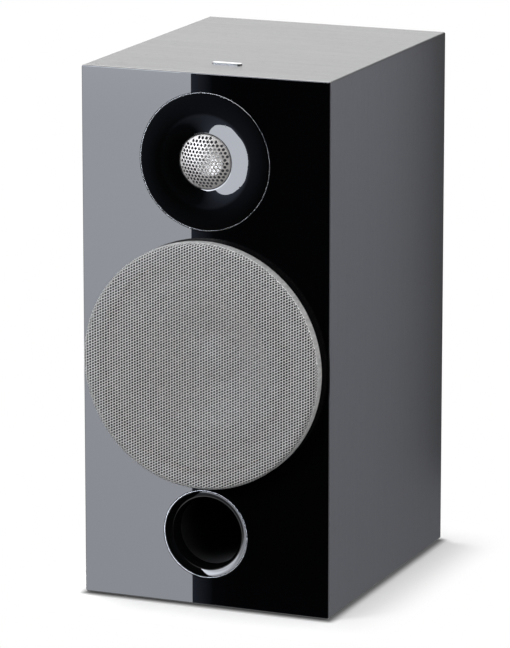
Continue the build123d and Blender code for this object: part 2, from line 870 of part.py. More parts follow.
with BuildPart() as tweeter_dome_grille:
    outer_cap = cap_points(dome_grille_radius, throat_depth, throat_depth - dome_grille_rise)
    inner_peak = throat_depth - dome_grille_rise + dome_grille_thickness
    inner_cap = cap_points(dome_grille_inner, throat_depth, inner_peak)
    with BuildSketch(tweeter_section):
        with BuildLine():
            ThreePointArc(*outer_cap)
            Line(outer_cap[2], inner_cap[2])
            ThreePointArc(*reversed(inner_cap))
            Polyline(
                inner_cap[0],
                (dome_grille_inner, faceplate_thickness),
                (dome_grille_radius, faceplate_thickness),
                outer_cap[0],
            )
        make_face()
    revolve(axis=tweeter_axis)
    with BuildSketch(front_plane(tweeter_z, faceplate_thickness)):
        with Locations(*mesh_points):
            Circle(mesh_hole_radius)
    extrude(amount=2 * dome_grille_rise, mode=Mode.SUBTRACT)

with BuildPart() as tweeter_surround:
    rubber_front = tweeter_ledge - tweeter_rubber
    roll_middle = (tweeter_roll_inner + tweeter_roll_outer) / 2
    inner_roll = tweeter_roll_radius - tweeter_rubber
    foot_inner = tweeter_roll_inner - tweeter_foot / 2
    with BuildSketch(tweeter_section):
        with BuildLine():
            ThreePointArc(
                (tweeter_roll_outer, rubber_front),
                (roll_middle, rubber_front - tweeter_roll_radius),
                (tweeter_roll_inner, rubber_front),
            )
            Polyline(
                (tweeter_roll_inner, rubber_front),
                (foot_inner, rubber_front),
                (foot_inner, tweeter_ledge),
                (roll_middle - inner_roll, tweeter_ledge),
                (roll_middle - inner_roll, rubber_front),
            )
            ThreePointArc(
                (roll_middle - inner_roll, rubber_front),
                (roll_middle, rubber_front - inner_roll),
                (roll_middle + inner_roll, rubber_front),
            )
            Polyline(
                (roll_middle + inner_roll, rubber_front),
                (roll_middle + inner_roll, tweeter_ledge),
                (tweeter_foot_outer, tweeter_ledge),
                (tweeter_foot_outer, rubber_front),
                (tweeter_roll_outer, rubber_front),
            )
        make_face()
    revolve(axis=tweeter_axis)

dome_rim = tweeter_dome_radius - tweeter_foot / 2

with BuildPart() as tweeter_dome:
    front_cap = cap_points(dome_rim, tweeter_ledge, dome_centre)
    dome_back_rim = tweeter_ledge + tweeter_dome_thickness
    back_cap = cap_points(dome_rim, dome_back_rim, dome_centre + tweeter_dome_thickness)
    with BuildSketch(tweeter_section):
        with BuildLine():
            ThreePointArc(*front_cap)
            Line(front_cap[2], back_cap[2])
            ThreePointArc(*reversed(back_cap))
            Polyline(
                back_cap[0],
                (tweeter_roll_inner, dome_back_rim),
                (tweeter_roll_inner, tweeter_ledge),
                front_cap[0],
            )
        make_face()
    revolve(axis=tweeter_axis)

dome_curve = cap_radius_of_curve(dome_rim, tweeter_dome_sag)
dome_lift = dome_curve - sqrt(dome_curve**2 - tweeter_coil_radius**2)
tweeter_former_front = dome_centre + tweeter_dome_thickness - dome_lift + pilot_gap

with BuildPart() as tweeter_voice_coil:
    winding_front_t = tweeter_winding_middle - tweeter_winding_height / 2
    winding_back_t = tweeter_winding_middle + tweeter_winding_height / 2
    with BuildSketch(tweeter_section):
        Polygon(
            (tweeter_coil_radius, tweeter_former_front),
            (tweeter_former_outer, tweeter_former_front),
            (tweeter_former_outer, winding_front_t),
            (tweeter_winding_outer, winding_front_t),
            (tweeter_winding_outer, winding_back_t),
            (tweeter_coil_radius, winding_back_t),
            align=None,
        )
    revolve(axis=tweeter_axis)

with BuildPart() as tweeter_top_plate:
    with BuildSketch(tweeter_section):
        ring(tweeter_winding_outer + tweeter_gap, tweeter_plate_radius, hub_back, tweeter_magnet_front)
    revolve(axis=tweeter_axis)

with BuildPart() as tweeter_magnet:
    with BuildSketch(tweeter_section):
        ring(tweeter_magnet_bore, tweeter_magnet_radius, tweeter_magnet_front, tweeter_magnet_back)
    revolve(axis=tweeter_axis)

with BuildPart() as tweeter_yoke:
    tweeter_pole = tweeter_coil_radius - tweeter_gap
    with BuildSketch(tweeter_section):
        Polygon(
            (0, hub_back),
            (tweeter_pole, hub_back),
            (tweeter_pole, tweeter_magnet_back),
            (tweeter_plate_radius, tweeter_magnet_back),
            (tweeter_plate_radius, tweeter_magnet_back + tweeter_yoke_thickness),
            (0, tweeter_magnet_back + tweeter_yoke_thickness),
            align=None,
        )
    revolve(axis=tweeter_axis)

with BuildPart() as tweeter_rear_chamber:
    chamber_back = hub_back + chamber_length
    with BuildSketch(tweeter_section):
        Polygon(
            (chamber_bore, hub_back),
            (chamber_radius, hub_back),
            (chamber_radius, chamber_back),
            (0, chamber_back),
            (0, chamber_back - chamber_wall),
            (chamber_bore, chamber_back - chamber_wall),
            align=None,
        )
    revolve(axis=tweeter_axis)

tweeter_tag_drop = chassis_hub_radius + tweeter_cutout_gap / 2
tweeter_tag_end = chassis_back + tweeter_tag_length

with BuildPart() as tweeter_tags:
    with BuildSketch(front_plane(tweeter_z, chassis_back)):
        with Locations((0, -tweeter_tag_drop)):
            with GridLocations(tag_spacing, 0, 2, 1):
                Rectangle(tag_width, tag_thickness)
    extrude(amount=-tweeter_tag_length)

# ==== Reflex port ====

port_section = section_plane(port_z)
port_axis = driver_axis(port_z)
port_bend = port_radius - port_bead - port_throat_radius
port_tube_front = port_flare_depth + port_stop

with BuildPart() as port_flare:
    socket_bore = port_tube_radius + port_fit
    with BuildSketch(port_section):
        with BuildLine():
            TangentArc(
                (port_throat_radius, port_bend), (port_radius - port_bead, 0), tangent=(0, -1)
            )
            Polyline(
                (port_radius - port_bead, 0),
                (port_radius - port_bead_drop, 0),
                (port_radius, port_bead_drop),
                (port_radius, port_flange),
                (port_socket_radius, port_flange),
                (port_socket_radius, port_tube_front + port_socket_length),
                (socket_bore, port_tube_front + port_socket_length),
                (socket_bore, port_tube_front),
                (port_throat_radius, port_tube_front),
                (port_throat_radius, port_bend),
            )
        make_face()
    revolve(axis=port_axis)

with BuildPart() as port_tube:
    with BuildSketch(port_section):
        ring(port_throat_radius, port_tube_radius, port_tube_front, port_tube_front + port_tube_length)
    revolve(axis=port_axis)

# ==== Terminals ====

post_floor = cup_depth
post_back = cup_depth + cup_floor
post_inner_end = post_back + post_tail
collar_front = post_floor - collar_height
washer_front = collar_front - washer_thickness
wire_hole_depth = washer_front - wire_hole_radius


def terminal_plane(depth):
    """Plane that looks into the terminal cup, at a depth inside the rear face."""
    return upright_plane(rear_y - depth, terminal_z)


with BuildPart() as terminal_cup:
    with BuildSketch(terminal_plane(0)):
        RectangleRounded(cup_flange_width, cup_flange_height, cup_corner)
    extrude(amount=cup_flange_thickness)
    with BuildSketch(terminal_plane(0)):
        RectangleRounded(cup_body_width, cup_body_height, cup_corner)
    extrude(amount=post_back)
    with BuildSketch(terminal_plane(0)):
        RectangleRounded(
            cup_body_width - 2 * cup_wall, cup_body_height - 2 * cup_wall, cup_corner - cup_wall
        )
    extrude(amount=cup_depth, mode=Mode.SUBTRACT)
    with BuildSketch(terminal_plane(cup_depth)):
        with GridLocations(post_spacing, 0, 2, 1):
            Circle(post_radius + post_fit)
    extrude(amount=cup_floor, mode=Mode.SUBTRACT)
    with BuildSketch(terminal_plane(0)):
        with GridLocations(cup_screw_x, cup_screw_z, 2, 2):
            Circle(cup_screw_radius + screw_gap)
    extrude(amount=cup_flange_thickness, mode=Mode.SUBTRACT)
    with BuildSketch(terminal_plane(0)):
        with GridLocations(cup_screw_x, cup_screw_z, 2, 2):
            Circle(cup_screw_head + screw_gap)
    extrude(amount=cup_flange_thickness / 2 + head_sink, mode=Mode.SUBTRACT)

with BuildPart() as terminal_screws:
    with BuildSketch(terminal_plane(head_sink)):
        with GridLocations(cup_screw_x, cup_screw_z, 2, 2):
            Circle(cup_screw_head)
    extrude(amount=cup_flange_thickness / 2)
    with BuildSketch(terminal_plane(head_sink)):
        with GridLocations(cup_screw_x, cup_screw_z, 2, 2):
            Circle(cup_screw_radius)
    extrude(amount=cup_screw_length)
    with BuildSketch(terminal_plane(head_sink)):
        with GridLocations(cup_screw_x, cup_screw_z, 2, 2):
            RegularPolygon(cup_screw_radius, 6)
    extrude(amount=cup_flange_thickness / 3, mode=Mode.SUBTRACT)


def binding_post(x):
    """Threaded post with a plug socket in its end and a hole across it for bare wire."""
    with BuildPart() as post:
        with BuildSketch(terminal_plane(post_end_depth)):
            with Locations((x, 0)):
                Circle(post_radius)
        extrude(amount=post_inner_end - post_end_depth)
        with BuildSketch(terminal_plane(post_end_depth)):
            with Locations((x, 0)):
                Circle(socket_radius)
        extrude(amount=socket_depth, mode=Mode.SUBTRACT)
        with BuildSketch(Plane.XY.offset(terminal_z)):
            with Locations((x, rear_y - wire_hole_depth)):
                Circle(wire_hole_radius)
        extrude(amount=post_radius, both=True, mode=Mode.SUBTRACT)
    return post


def post_cap(x):
    """Grooved clamping cap that runs on the post's thread."""
    with BuildPart() as cap:
        with BuildSketch(terminal_plane(cap_end_depth)):
            with Locations((x, 0)):
                Circle(cap_radius)
        extrude(amount=washer_front - cap_end_depth)
        chamfer(cap.faces().sort_by(Axis.Y)[-1].edges(), cap_edge)
        with BuildSketch(terminal_plane(cap_end_depth)):
            with Locations((x, 0)):
                Circle(post_radius + post_fit)
                with PolarLocations(cap_radius, cap_groove_count):
                    Circle(cap_groove_radius)
        extrude(amount=washer_front - cap_end_depth, mode=Mode.SUBTRACT)
    return cap


def post_washer(x):
    """Clamping washer between the cap and the collar."""
    with BuildPart() as washer:
        with BuildSketch(terminal_plane(washer_front)):
            with Locations((x, 0)):
                Circle(washer_radius)
                Circle(post_radius + post_fit, mode=Mode.SUBTRACT)
        extrude(amount=washer_thickness)
    return washer


positive_post = binding_post(-post_spacing / 2)
negative_post = binding_post(post_spacing / 2)
positive_cap = post_cap(-post_spacing / 2)
negative_cap = post_cap(post_spacing / 2)
positive_washer = post_washer(-post_spacing / 2)
negative_washer = post_washer(post_spacing / 2)

with BuildPart() as post_collars:
    with BuildSketch(terminal_plane(collar_front)):
        with GridLocations(post_spacing, 0, 2, 1):
            Circle(collar_radius)
            Circle(post_radius + pilot_gap, mode=Mode.SUBTRACT)
    extrude(amount=collar_height)

with BuildPart() as solder_tags:
    with BuildSketch(terminal_plane(post_back)):
        with GridLocations(post_spacing, 0, 2, 1):
            Circle(nut_radius)
            with Locations((0, solder_tag_reach / 2)):
                Rectangle(solder_tag_width, solder_tag_reach)
            Circle(post_radius + pilot_gap, mode=Mode.SUBTRACT)
    extrude(amount=tag_thickness)

with BuildPart() as post_nuts:
    with BuildSketch(terminal_plane(post_back + tag_thickness)):
        with GridLocations(post_spacing, 0, 2, 1):
            RegularPolygon(nut_radius, 6)
            Circle(post_radius + pilot_gap, mode=Mode.SUBTRACT)
    extrude(amount=nut_height)

# ==== Crossover ====

board_back = standoff_height
board_front = board_back + board_thickness


def board_level(height):
    """Plane that faces the front, at a height above the rear panel's inner face."""
    return board_plane.offset(height)


with BuildPart() as crossover_standoffs:
    for pin_radius, low, high in (
        (standoff_pin, -standoff_root, board_front + standoff_barb),
        (standoff_radius, 0, board_back),
        (standoff_head, board_front, board_front + standoff_barb),
    ):
        with BuildSketch(board_level(low)):
            with GridLocations(standoff_x, standoff_z, 2, 2):
                Circle(pin_radius)
        extrude(amount=high - low)

with BuildPart() as crossover_board:
    with BuildSketch(board_level(board_back)):
        Rectangle(board_width, board_height)
        with GridLocations(standoff_x, standoff_z, 2, 2):
            Circle(standoff_pin + pilot_gap, mode=Mode.SUBTRACT)
    extrude(amount=board_thickness)

coil_row = board_height / 2 - inductor_radius - lead_margin
large_coil_x = -board_width / 2 + board_edge + standoff_head + inductor_radius
small_coil_x = large_coil_x + inductor_radius + small_inductor_radius + lead_margin

with BuildPart() as crossover_inductors:
    for coil_x, coil_size in ((large_coil_x, inductor_radius), (small_coil_x, small_inductor_radius)):
        coil_height = inductor_height * coil_size / inductor_radius
        with BuildSketch(board_level(board_front)):
            with Locations((coil_x, coil_row)):
                Circle(coil_size)
        extrude(amount=coil_height)
        with BuildSketch(board_level(board_front + inductor_flange)):
            with Locations((coil_x, coil_row)):
                Circle(coil_size)
                Circle(coil_size - inductor_groove, mode=Mode.SUBTRACT)
        extrude(amount=coil_height - 2 * inductor_flange, mode=Mode.SUBTRACT)
        with BuildSketch(board_level(board_front)):
            with Locations((coil_x, coil_row)):
                Circle(inductor_core * coil_size / inductor_radius)
        extrude(amount=coil_height, mode=Mode.SUBTRACT)

capacitor_height = capacitor_radius + lead_foot
capacitor_row = -board_height / 2 + capacitor_radius + lead_margin
capacitor_places = [
    (large_coil_x, capacitor_row),
    (large_coil_x, capacitor_row + capacitor_spacing),
    (large_coil_x + capacitor_length + lead_margin, capacitor_row),
]
resistor_x = large_coil_x + capacitor_length + lead_margin
resistor_row = capacitor_row + capacitor_radius + lead_margin + resistor_width / 2


def along_board(x, row, length):
    """Plane whose normal runs along the board, at the left end of a component."""
    y = inner_rear_y - board_front
    return Plane(origin=(x - length / 2, y, board_z + row), x_dir=(0, 0, 1), z_dir=(1, 0, 0))


with BuildPart() as crossover_capacitors:
    for place_x, place_row in capacitor_places:
        with BuildSketch(along_board(place_x, place_row, capacitor_length)):
            with Locations((0, capacitor_height)):
                Circle(capacitor_radius)
            with Locations((0, capacitor_height / 2)):
                Rectangle(capacitor_radius, capacitor_height)
        extrude(amount=capacitor_length)

with BuildPart() as crossover_resistors:
    for row in (resistor_row, resistor_row + resistor_spacing):
        with BuildSketch(along_board(resistor_x, row, resistor_length)):
            with Locations((0, resistor_width / 2)):
                Rectangle(resistor_width, resistor_width)
        extrude(amount=resistor_length)

# ==== Internal leads ====

board_face_y = inner_rear_y - board_front
board_low_z = board_z - board_height / 2 + lead_margin / 2
board_high_z = board_z + board_height / 2 - lead_margin / 2
tag_back_y = face_y + basket_depth + tag_thickness
woofer_tag_z = woofer_z + woofer_tag_start + tag_length - lead_margin / 2
tweeter_tag_y = face_y + tweeter_tag_end
tweeter_tag_z = tweeter_z - tweeter_tag_drop
solder_tag_y = rear_y - post_back - tag_thickness
solder_tag_z = terminal_z + solder_tag_reach - lead_margin / 2
rear_window_y = inner_rear_y - brace_rail - window_depth / 2


def between(start, end, share, lift):
    """Place part of the way from start to end, lifted off the straight line."""
    x, y, z = (a + share * (b - a) for a, b in zip(start, end))
    return x, y, z + lift


def input_route(side):
    """From a solder tag up to the lower edge of the board."""
    start = (side * post_spacing / 2, solder_tag_y, solder_tag_z)
    below = (side * post_spacing / 2, solder_tag_y - 1.5 * lead_spacing, solder_tag_z)
    above = (side * lead_spacing, board_face_y - 1.8 * lead_spacing, board_low_z)
    x, y, z = between(below, above, 0.5, 0)
    return [start, below, (x, y - lead_margin, z), above, (side * lead_spacing, board_face_y, board_low_z)]


def woofer_route(side):
    """From the top of the board, forward over the magnet to a woofer tag."""
    offset = side * tag_spacing / 2
    start = (offset - 2 * lead_spacing, board_face_y, board_high_z)
    near = (offset - 2 * lead_spacing, board_face_y - 2 * lead_spacing, board_high_z)
    far = (offset, tag_back_y + 2 * lead_spacing, woofer_tag_z)
    end = (offset, tag_back_y, woofer_tag_z)
    return [start, near, between(near, far, 0.3, -7), between(near, far, 0.68, -6), far, end]


def tweeter_route(side):
    """From the top of the board, up through the brace's rear window to a tweeter tag."""
    offset = side * tag_spacing / 2
    start = (offset + 2 * lead_spacing, board_face_y, board_high_z)
    near = (offset + 2 * lead_spacing, board_face_y - 2 * lead_spacing, board_high_z)
    window = (offset + 1.6 * lead_spacing, rear_window_y, brace_z)
    far = (offset, tweeter_tag_y + 2.5 * lead_spacing, tweeter_tag_z)
    end = (offset, tweeter_tag_y, tweeter_tag_z)
    turn_x, turn_y, turn_z = between(near, window, 0.45, 0)
    rising = (turn_x, turn_y + lead_margin, turn_z)
    over = between(window, far, 0.33, 12)
    falling = between(window, far, 0.68, 13)
    return [start, near, rising, window, over, falling, far, end]


def lead_radii(points):
    """Bend radius at each corner of a lead, as large as its two runs allow."""
    places = [Vector(*point) for point in points]
    radii = []
    for before, corner, after in zip(places, places[1:], places[2:]):
        turn = (corner - before).get_angle(after - corner)
        shorter = min((corner - before).length, (after - corner).length)
        radii.append(0.45 * shorter / tan(radians(turn) / 2))
    return radii


lead_routes = [route(side) for route in (input_route, woofer_route, tweeter_route) for side in (-1, 1)]
lead_volume = 0.0

with BuildPart() as internal_leads:
    for route_points in lead_routes:
        with BuildLine() as lead_line:
            FilletPolyline(*route_points, radius=lead_radii(route_points))
        lead_path = lead_line.wires()[0]
        lead_volume += lead_path.length * pi * lead_radius**2
        with BuildSketch(Plane(origin=lead_path @ 0, z_dir=lead_path % 0)):
            Circle(lead_radius)
        sweep(path=lead_path)

print("lead volume against section times length:", internal_leads.part.volume / lead_volume)
print("tightest lead bend:", min(min(lead_radii(points)) for points in lead_routes))

# ==== Files ====

pieces = {
    "left_side_panel": left_side_panel,
    "right_side_panel": right_side_panel,
    "top_panel": top_panel,
    "bottom_panel": bottom_panel,
    "rear_panel": rear_panel,
    "front_baffle": front_baffle,
    "gloss_front_panel": gloss_front_panel,
    "window_brace": window_brace,
    "acoustic_wadding": acoustic_wadding,
    "foot_pads": foot_pads,
    "top_badge": top_badge,
    "baffle_magnets": baffle_magnets,
    "grille_frame": grille_frame,
    "grille_cloth": grille_cloth,
    "grille_magnets": grille_magnets,
    "woofer_basket": woofer_basket,
    "woofer_gasket": woofer_gasket,
    "woofer_screws": woofer_screws,
    "woofer_cone": woofer_cone,
    "woofer_dust_cap": woofer_dust_cap,
    "woofer_surround": woofer_surround,
    "woofer_spider": woofer_spider,
    "woofer_coil_former": woofer_coil_former,
    "woofer_voice_coil": woofer_voice_coil,
    "woofer_top_plate": woofer_top_plate,
    "woofer_magnet": woofer_magnet,
    "woofer_yoke": woofer_yoke,
    "woofer_tags": woofer_tags,
    "tweeter_faceplate": tweeter_faceplate,
    "tweeter_chassis": tweeter_chassis,
    "tweeter_gasket": tweeter_gasket,
    "tweeter_screws": tweeter_screws,
    "tweeter_dome_grille": tweeter_dome_grille,
    "tweeter_dome": tweeter_dome,
    "tweeter_surround": tweeter_surround,
    "tweeter_voice_coil": tweeter_voice_coil,
    "tweeter_top_plate": tweeter_top_plate,
    "tweeter_magnet": tweeter_magnet,
    "tweeter_yoke": tweeter_yoke,
    "tweeter_rear_chamber": tweeter_rear_chamber,
    "tweeter_tags": tweeter_tags,
    "port_flare": port_flare,
    "port_tube": port_tube,
    "crossover_board": crossover_board,
    "crossover_standoffs": crossover_standoffs,
    "crossover_inductors": crossover_inductors,
    "crossover_capacitors": crossover_capacitors,
    "crossover_resistors": crossover_resistors,
    "terminal_cup": terminal_cup,
    "terminal_screws": terminal_screws,
    "positive_post": positive_post,
    "negative_post": negative_post,
    "positive_cap": positive_cap,
    "negative_cap": negative_cap,
    "positive_washer": positive_washer,
    "negative_washer": negative_washer,
    "post_collars": post_collars,
    "post_nuts": post_nuts,
    "solder_tags": solder_tags,
    "internal_leads": internal_leads,
}

os.makedirs("parts", exist_ok=True)
for name, piece in pieces.items():
    piece.part.label = name
    export_step(piece.part, f"parts/{name}.step")
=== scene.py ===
"""Dresses a bookshelf speaker: finishes for every part of the frame, a knitted grille cloth,
a rubber surround, felted wadding, and a plain pale studio."""

import math
import random

import bmesh
import bpy
import numpy as np
from bpy.props import FloatProperty, FloatVectorProperty, IntProperty, PointerProperty
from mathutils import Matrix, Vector, noise


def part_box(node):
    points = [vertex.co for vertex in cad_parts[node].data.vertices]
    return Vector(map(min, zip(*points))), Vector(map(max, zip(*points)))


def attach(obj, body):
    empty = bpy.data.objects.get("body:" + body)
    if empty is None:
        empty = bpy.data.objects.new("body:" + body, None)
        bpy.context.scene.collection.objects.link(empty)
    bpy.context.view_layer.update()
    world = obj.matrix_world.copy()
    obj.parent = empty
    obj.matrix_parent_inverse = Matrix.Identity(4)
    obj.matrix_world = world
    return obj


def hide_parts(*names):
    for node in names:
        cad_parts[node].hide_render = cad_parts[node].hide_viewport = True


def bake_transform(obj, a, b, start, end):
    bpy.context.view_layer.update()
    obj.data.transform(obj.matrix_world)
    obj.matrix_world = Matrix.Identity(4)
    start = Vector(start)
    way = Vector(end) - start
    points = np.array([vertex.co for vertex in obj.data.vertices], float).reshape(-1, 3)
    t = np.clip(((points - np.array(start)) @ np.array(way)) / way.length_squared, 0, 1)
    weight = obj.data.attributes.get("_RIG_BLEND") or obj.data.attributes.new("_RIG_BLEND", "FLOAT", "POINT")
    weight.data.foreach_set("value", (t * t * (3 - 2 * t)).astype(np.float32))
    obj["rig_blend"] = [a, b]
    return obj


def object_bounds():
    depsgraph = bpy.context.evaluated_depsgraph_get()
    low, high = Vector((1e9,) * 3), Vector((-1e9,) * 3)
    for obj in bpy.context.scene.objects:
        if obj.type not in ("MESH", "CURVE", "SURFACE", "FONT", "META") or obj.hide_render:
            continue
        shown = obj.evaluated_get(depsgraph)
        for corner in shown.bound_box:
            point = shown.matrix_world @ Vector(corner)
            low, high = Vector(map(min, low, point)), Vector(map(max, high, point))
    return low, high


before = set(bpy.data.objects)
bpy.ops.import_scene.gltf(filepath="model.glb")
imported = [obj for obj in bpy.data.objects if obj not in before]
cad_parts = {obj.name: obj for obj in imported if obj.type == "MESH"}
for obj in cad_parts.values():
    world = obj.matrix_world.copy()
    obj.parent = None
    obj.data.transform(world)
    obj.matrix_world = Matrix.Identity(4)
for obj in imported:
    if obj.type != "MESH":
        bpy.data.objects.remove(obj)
cad_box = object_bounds()

bl_info = {
    "name": "Bookshelf Speaker",
    "version": (1, 0, 0),
    "blender": (4, 5, 0),
    "location": "3D View > Sidebar > Speaker",
    "description": "Finishes, grille cloth and studio for a two-way bookshelf speaker",
    "category": "Object",
}

MM = 0.001
WHITE = (1.0, 1.0, 1.0)
BLACK = (0.0, 0.0, 0.0)


def middle(node):
    """Centre of a CAD node's box."""
    low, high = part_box(node)
    return (low + high) / 2


def reach(node):
    """Largest radius of a round CAD node about its own axis, which runs front to back."""
    low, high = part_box(node)
    return (high.x - low.x) / 2


FACE_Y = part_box("gloss_front_panel")[0].y
WOOFER = middle("woofer_basket")
TWEETER = middle("tweeter_faceplate")
PORT = middle("port_flare")
POLES = ("positive", "negative")


# ---- shader maths


class Amount:
    """A number that varies over a surface. Arithmetic on it adds Math nodes."""

    def __init__(self, nodes, socket):
        self.nodes = nodes
        self.socket = socket

    def __add__(self, other):
        return self.nodes.maths("ADD", self, other)

    __radd__ = __add__

    def __sub__(self, other):
        return self.nodes.maths("SUBTRACT", self, other)

    def __rsub__(self, other):
        return self.nodes.maths("SUBTRACT", other, self)

    def __mul__(self, other):
        return self.nodes.maths("MULTIPLY", self, other)

    __rmul__ = __mul__

    def __truediv__(self, other):
        return self.nodes.maths("DIVIDE", self, other)

    def __rtruediv__(self, other):
        return self.nodes.maths("DIVIDE", other, self)

    def __pow__(self, power):
        return self.nodes.maths("POWER", self, power)

    def __rpow__(self, base):
        return self.nodes.maths("POWER", base, self)


class Nodes:
    """The nodes of a finish or of the room."""

    def __init__(self, tree):
        self.tree = tree

    def join(self, target, value):
        """Gives an input a number, a colour, or what another node works out."""
        value = value.socket if isinstance(value, Amount) else value
        if isinstance(value, bpy.types.NodeSocket):
            self.tree.links.new(value, target)
        elif target.type == "RGBA":
            target.default_value = (*tuple(value)[:3], 1.0)
        else:
            target.default_value = value

    def node(self, kind, output=0, settings=None, inputs=None):
        """Adds a node, makes its settings, joins its inputs and gives one output."""
        made = self.tree.nodes.new(kind)
        for setting, value in (settings or {}).items():
            if setting == "stops":
                elements = made.color_ramp.elements
                while len(elements) < len(value):
                    elements.new(1.0)
                for element, (place, colour) in zip(elements, value):
                    element.position, element.color = place, (*colour, 1.0)
            else:
                setattr(made, setting, value)
        for key, value in (inputs or {}).items():
            self.join(made.inputs[key], value)
        given = made.outputs[output]
        return Amount(self, given) if given.type == "VALUE" else given

    def maths(self, operation, *values):
        """One Math node."""
        return self.node("ShaderNodeMath", 0, {"operation": operation}, dict(enumerate(values)))

    def greatest(self, first, *others):
        """The largest of some values."""
        for other in others:
            first = self.maths("MAXIMUM", first, other)
        return first


class Finish(Nodes):
    """One material: its surface shader and the nodes that vary it."""

    def __init__(self, name, colour, surface=None):
        self.material = bpy.data.materials.new(name)
        self.material.use_nodes = True
        self.material.diffuse_color = (*colour, 1.0)
        super().__init__(self.material.node_tree)
        self.surface = self.tree.nodes["Principled BSDF"]
        self.vary("Base Color", colour)
        for socket, value in (surface or {}).items():
            self.vary(socket, value)
        self.cached = {}

    def vary(self, socket, value):
        """Sets one of the surface shader's own inputs."""
        self.join(self.surface.inputs[socket], value)

    def clipped(self, value):
        """The value, held between 0 and 1."""
        return self.maths("MINIMUM", self.greatest(value, 0.0), 1.0)

    def eased(self, value, low, high):
        """0 below low, 1 above high, and a smooth rise between them."""
        inputs = {"Value": value, "From Min": low, "From Max": high}
        smooth = {"interpolation_type": "SMOOTHSTEP"}
        return self.node("ShaderNodeMapRange", "Result", smooth, inputs)

    def mixed(self, share, first, second, blend="MIX"):
        """A colour between two others."""
        settings = {"data_type": "RGBA", "blend_type": blend}
        return self.node("ShaderNodeMix", 2, settings, {0: share, 6: first, 7: second})

    def toned(self, colour, share, spread):
        """A colour made darker and lighter by a share from 0 to 1."""
        dark = tuple(c * (1 - spread) for c in colour)
        light = tuple(min(1.0, c * (1 + spread)) for c in colour)
        return self.mixed(share, dark, light)

    def vectors(self, operation, *values):
        """Vector maths on places."""
        inputs = dict(enumerate(values))
        return self.node("ShaderNodeVectorMath", 0, {"operation": operation}, inputs)

    def place(self, stretch=(1.0, 1.0, 1.0)):
        """Place on the part in millimetres, each way times its own stretch."""
        if "place" not in self.cached:
            self.cached["place"] = self.node("ShaderNodeTexCoord", "Object")
        return self.vectors("MULTIPLY", self.cached["place"], tuple(s / MM for s in stretch))

    def axes(self):
        """Place on the part in millimetres as three numbers."""
        if "axes" not in self.cached:
            spot = self.place()
            self.cached["axes"] = [
                self.node("ShaderNodeSeparateXYZ", way, None, {0: spot}) for way in "XYZ"
            ]
        return self.cached["axes"]

    def polar(self, centre):
        """Radius in millimetres and angle about an axis that runs front to back."""
        x, _, z = self.axes()
        across, up = x - centre.x / MM, z - centre.z / MM
        return (across * across + up * up) ** 0.5, self.maths("ARCTAN2", up, across)

    def point(self, x, y, z):
        """Three numbers as one place."""
        return self.node("ShaderNodeCombineXYZ", 0, None, {0: x, 1: y, 2: z})

    def wave(self, value, pitch):
        """Rises and falls from 0 to 1 once in each pitch."""
        return self.maths("SINE", value * (2 * math.pi / pitch)) * 0.5 + 0.5

    def noise(self, size, detail=2.0, stretch=(1.0, 1.0, 1.0), at=None, distortion=0.0):
        """Soft blotches of a size in millimetres, from 0 to 1."""
        inputs = {"Scale": 1.0 / size, "Detail": detail, "Distortion": distortion}
        inputs["Vector"] = self.place(stretch) if at is None else at
        return self.node("ShaderNodeTexNoise", 0, None, inputs)

    def cells(self, size, feature="F1", at=None):
        """Distance from the middle of the nearest of many small cells."""
        inputs = {"Vector": self.place() if at is None else at, "Scale": 1.0 / size}
        return self.node("ShaderNodeTexVoronoi", "Distance", {"feature": feature}, inputs)

    def specks(self, size):
        """A random shade from 0 to 1 for each of many small cells."""
        inputs = {"Vector": self.place(), "Scale": 1.0 / size}
        colour = self.node("ShaderNodeTexVoronoi", "Color", None, inputs)
        return self.node("ShaderNodeSeparateColor", 0, None, {0: colour})

    def wandering(self, stretch):
        """Place on the part, pushed about by noise, for strands that wander."""
        spot = self.place(stretch)
        push = self.node("ShaderNodeTexNoise", 1, None, {"Vector": spot, "Scale": 0.4})
        return self.vectors("MULTIPLY_ADD", push, (3.0, 3.0, 3.0), spot)

    def dust(self):
        """Sparse fine specks, from 0 to 1."""
        return self.eased(self.noise(0.35, 1.0), 0.77, 0.83)

    def beyond(self, radius, edge):
        """0 inside an edge, given in metres, and 1 outside it."""
        return self.eased(radius, edge / MM - 0.1, edge / MM + 0.05)

    def relief(self, height, depth, under=None):
        """Bump of a depth in millimetres, over another one where that is given."""
        inputs = {"Height": height, "Distance": depth * MM, "Strength": 1.0}
        if under is not None:
            inputs["Normal"] = under
        return self.node("ShaderNodeBump", 0, None, inputs)

    def finished(self, colour, roughness, height, depth, under=None):
        """Sets the colour, the roughness and the bump, and gives the material."""
        self.vary("Base Color", colour)
        self.vary("Roughness", roughness)
        self.vary("Normal", self.relief(height, depth, under))
        return self.material


# ---- finishes


# A mirror-smooth coat over a surface that adds no shine of its own.
POLISHED = {
    "IOR": 1.5,
    "Specular IOR Level": 0.0,
    "Coat Weight": 1.0,
    "Coat Roughness": 0.0,
    "Coat IOR": 1.5,
}
HORN_EDGE = (36.0, 39.0)  # radius in millimetres over which the faceplate's horn ends
BAND_START = (10.0, 11.0)  # depth in millimetres over which the grille's smooth band begins


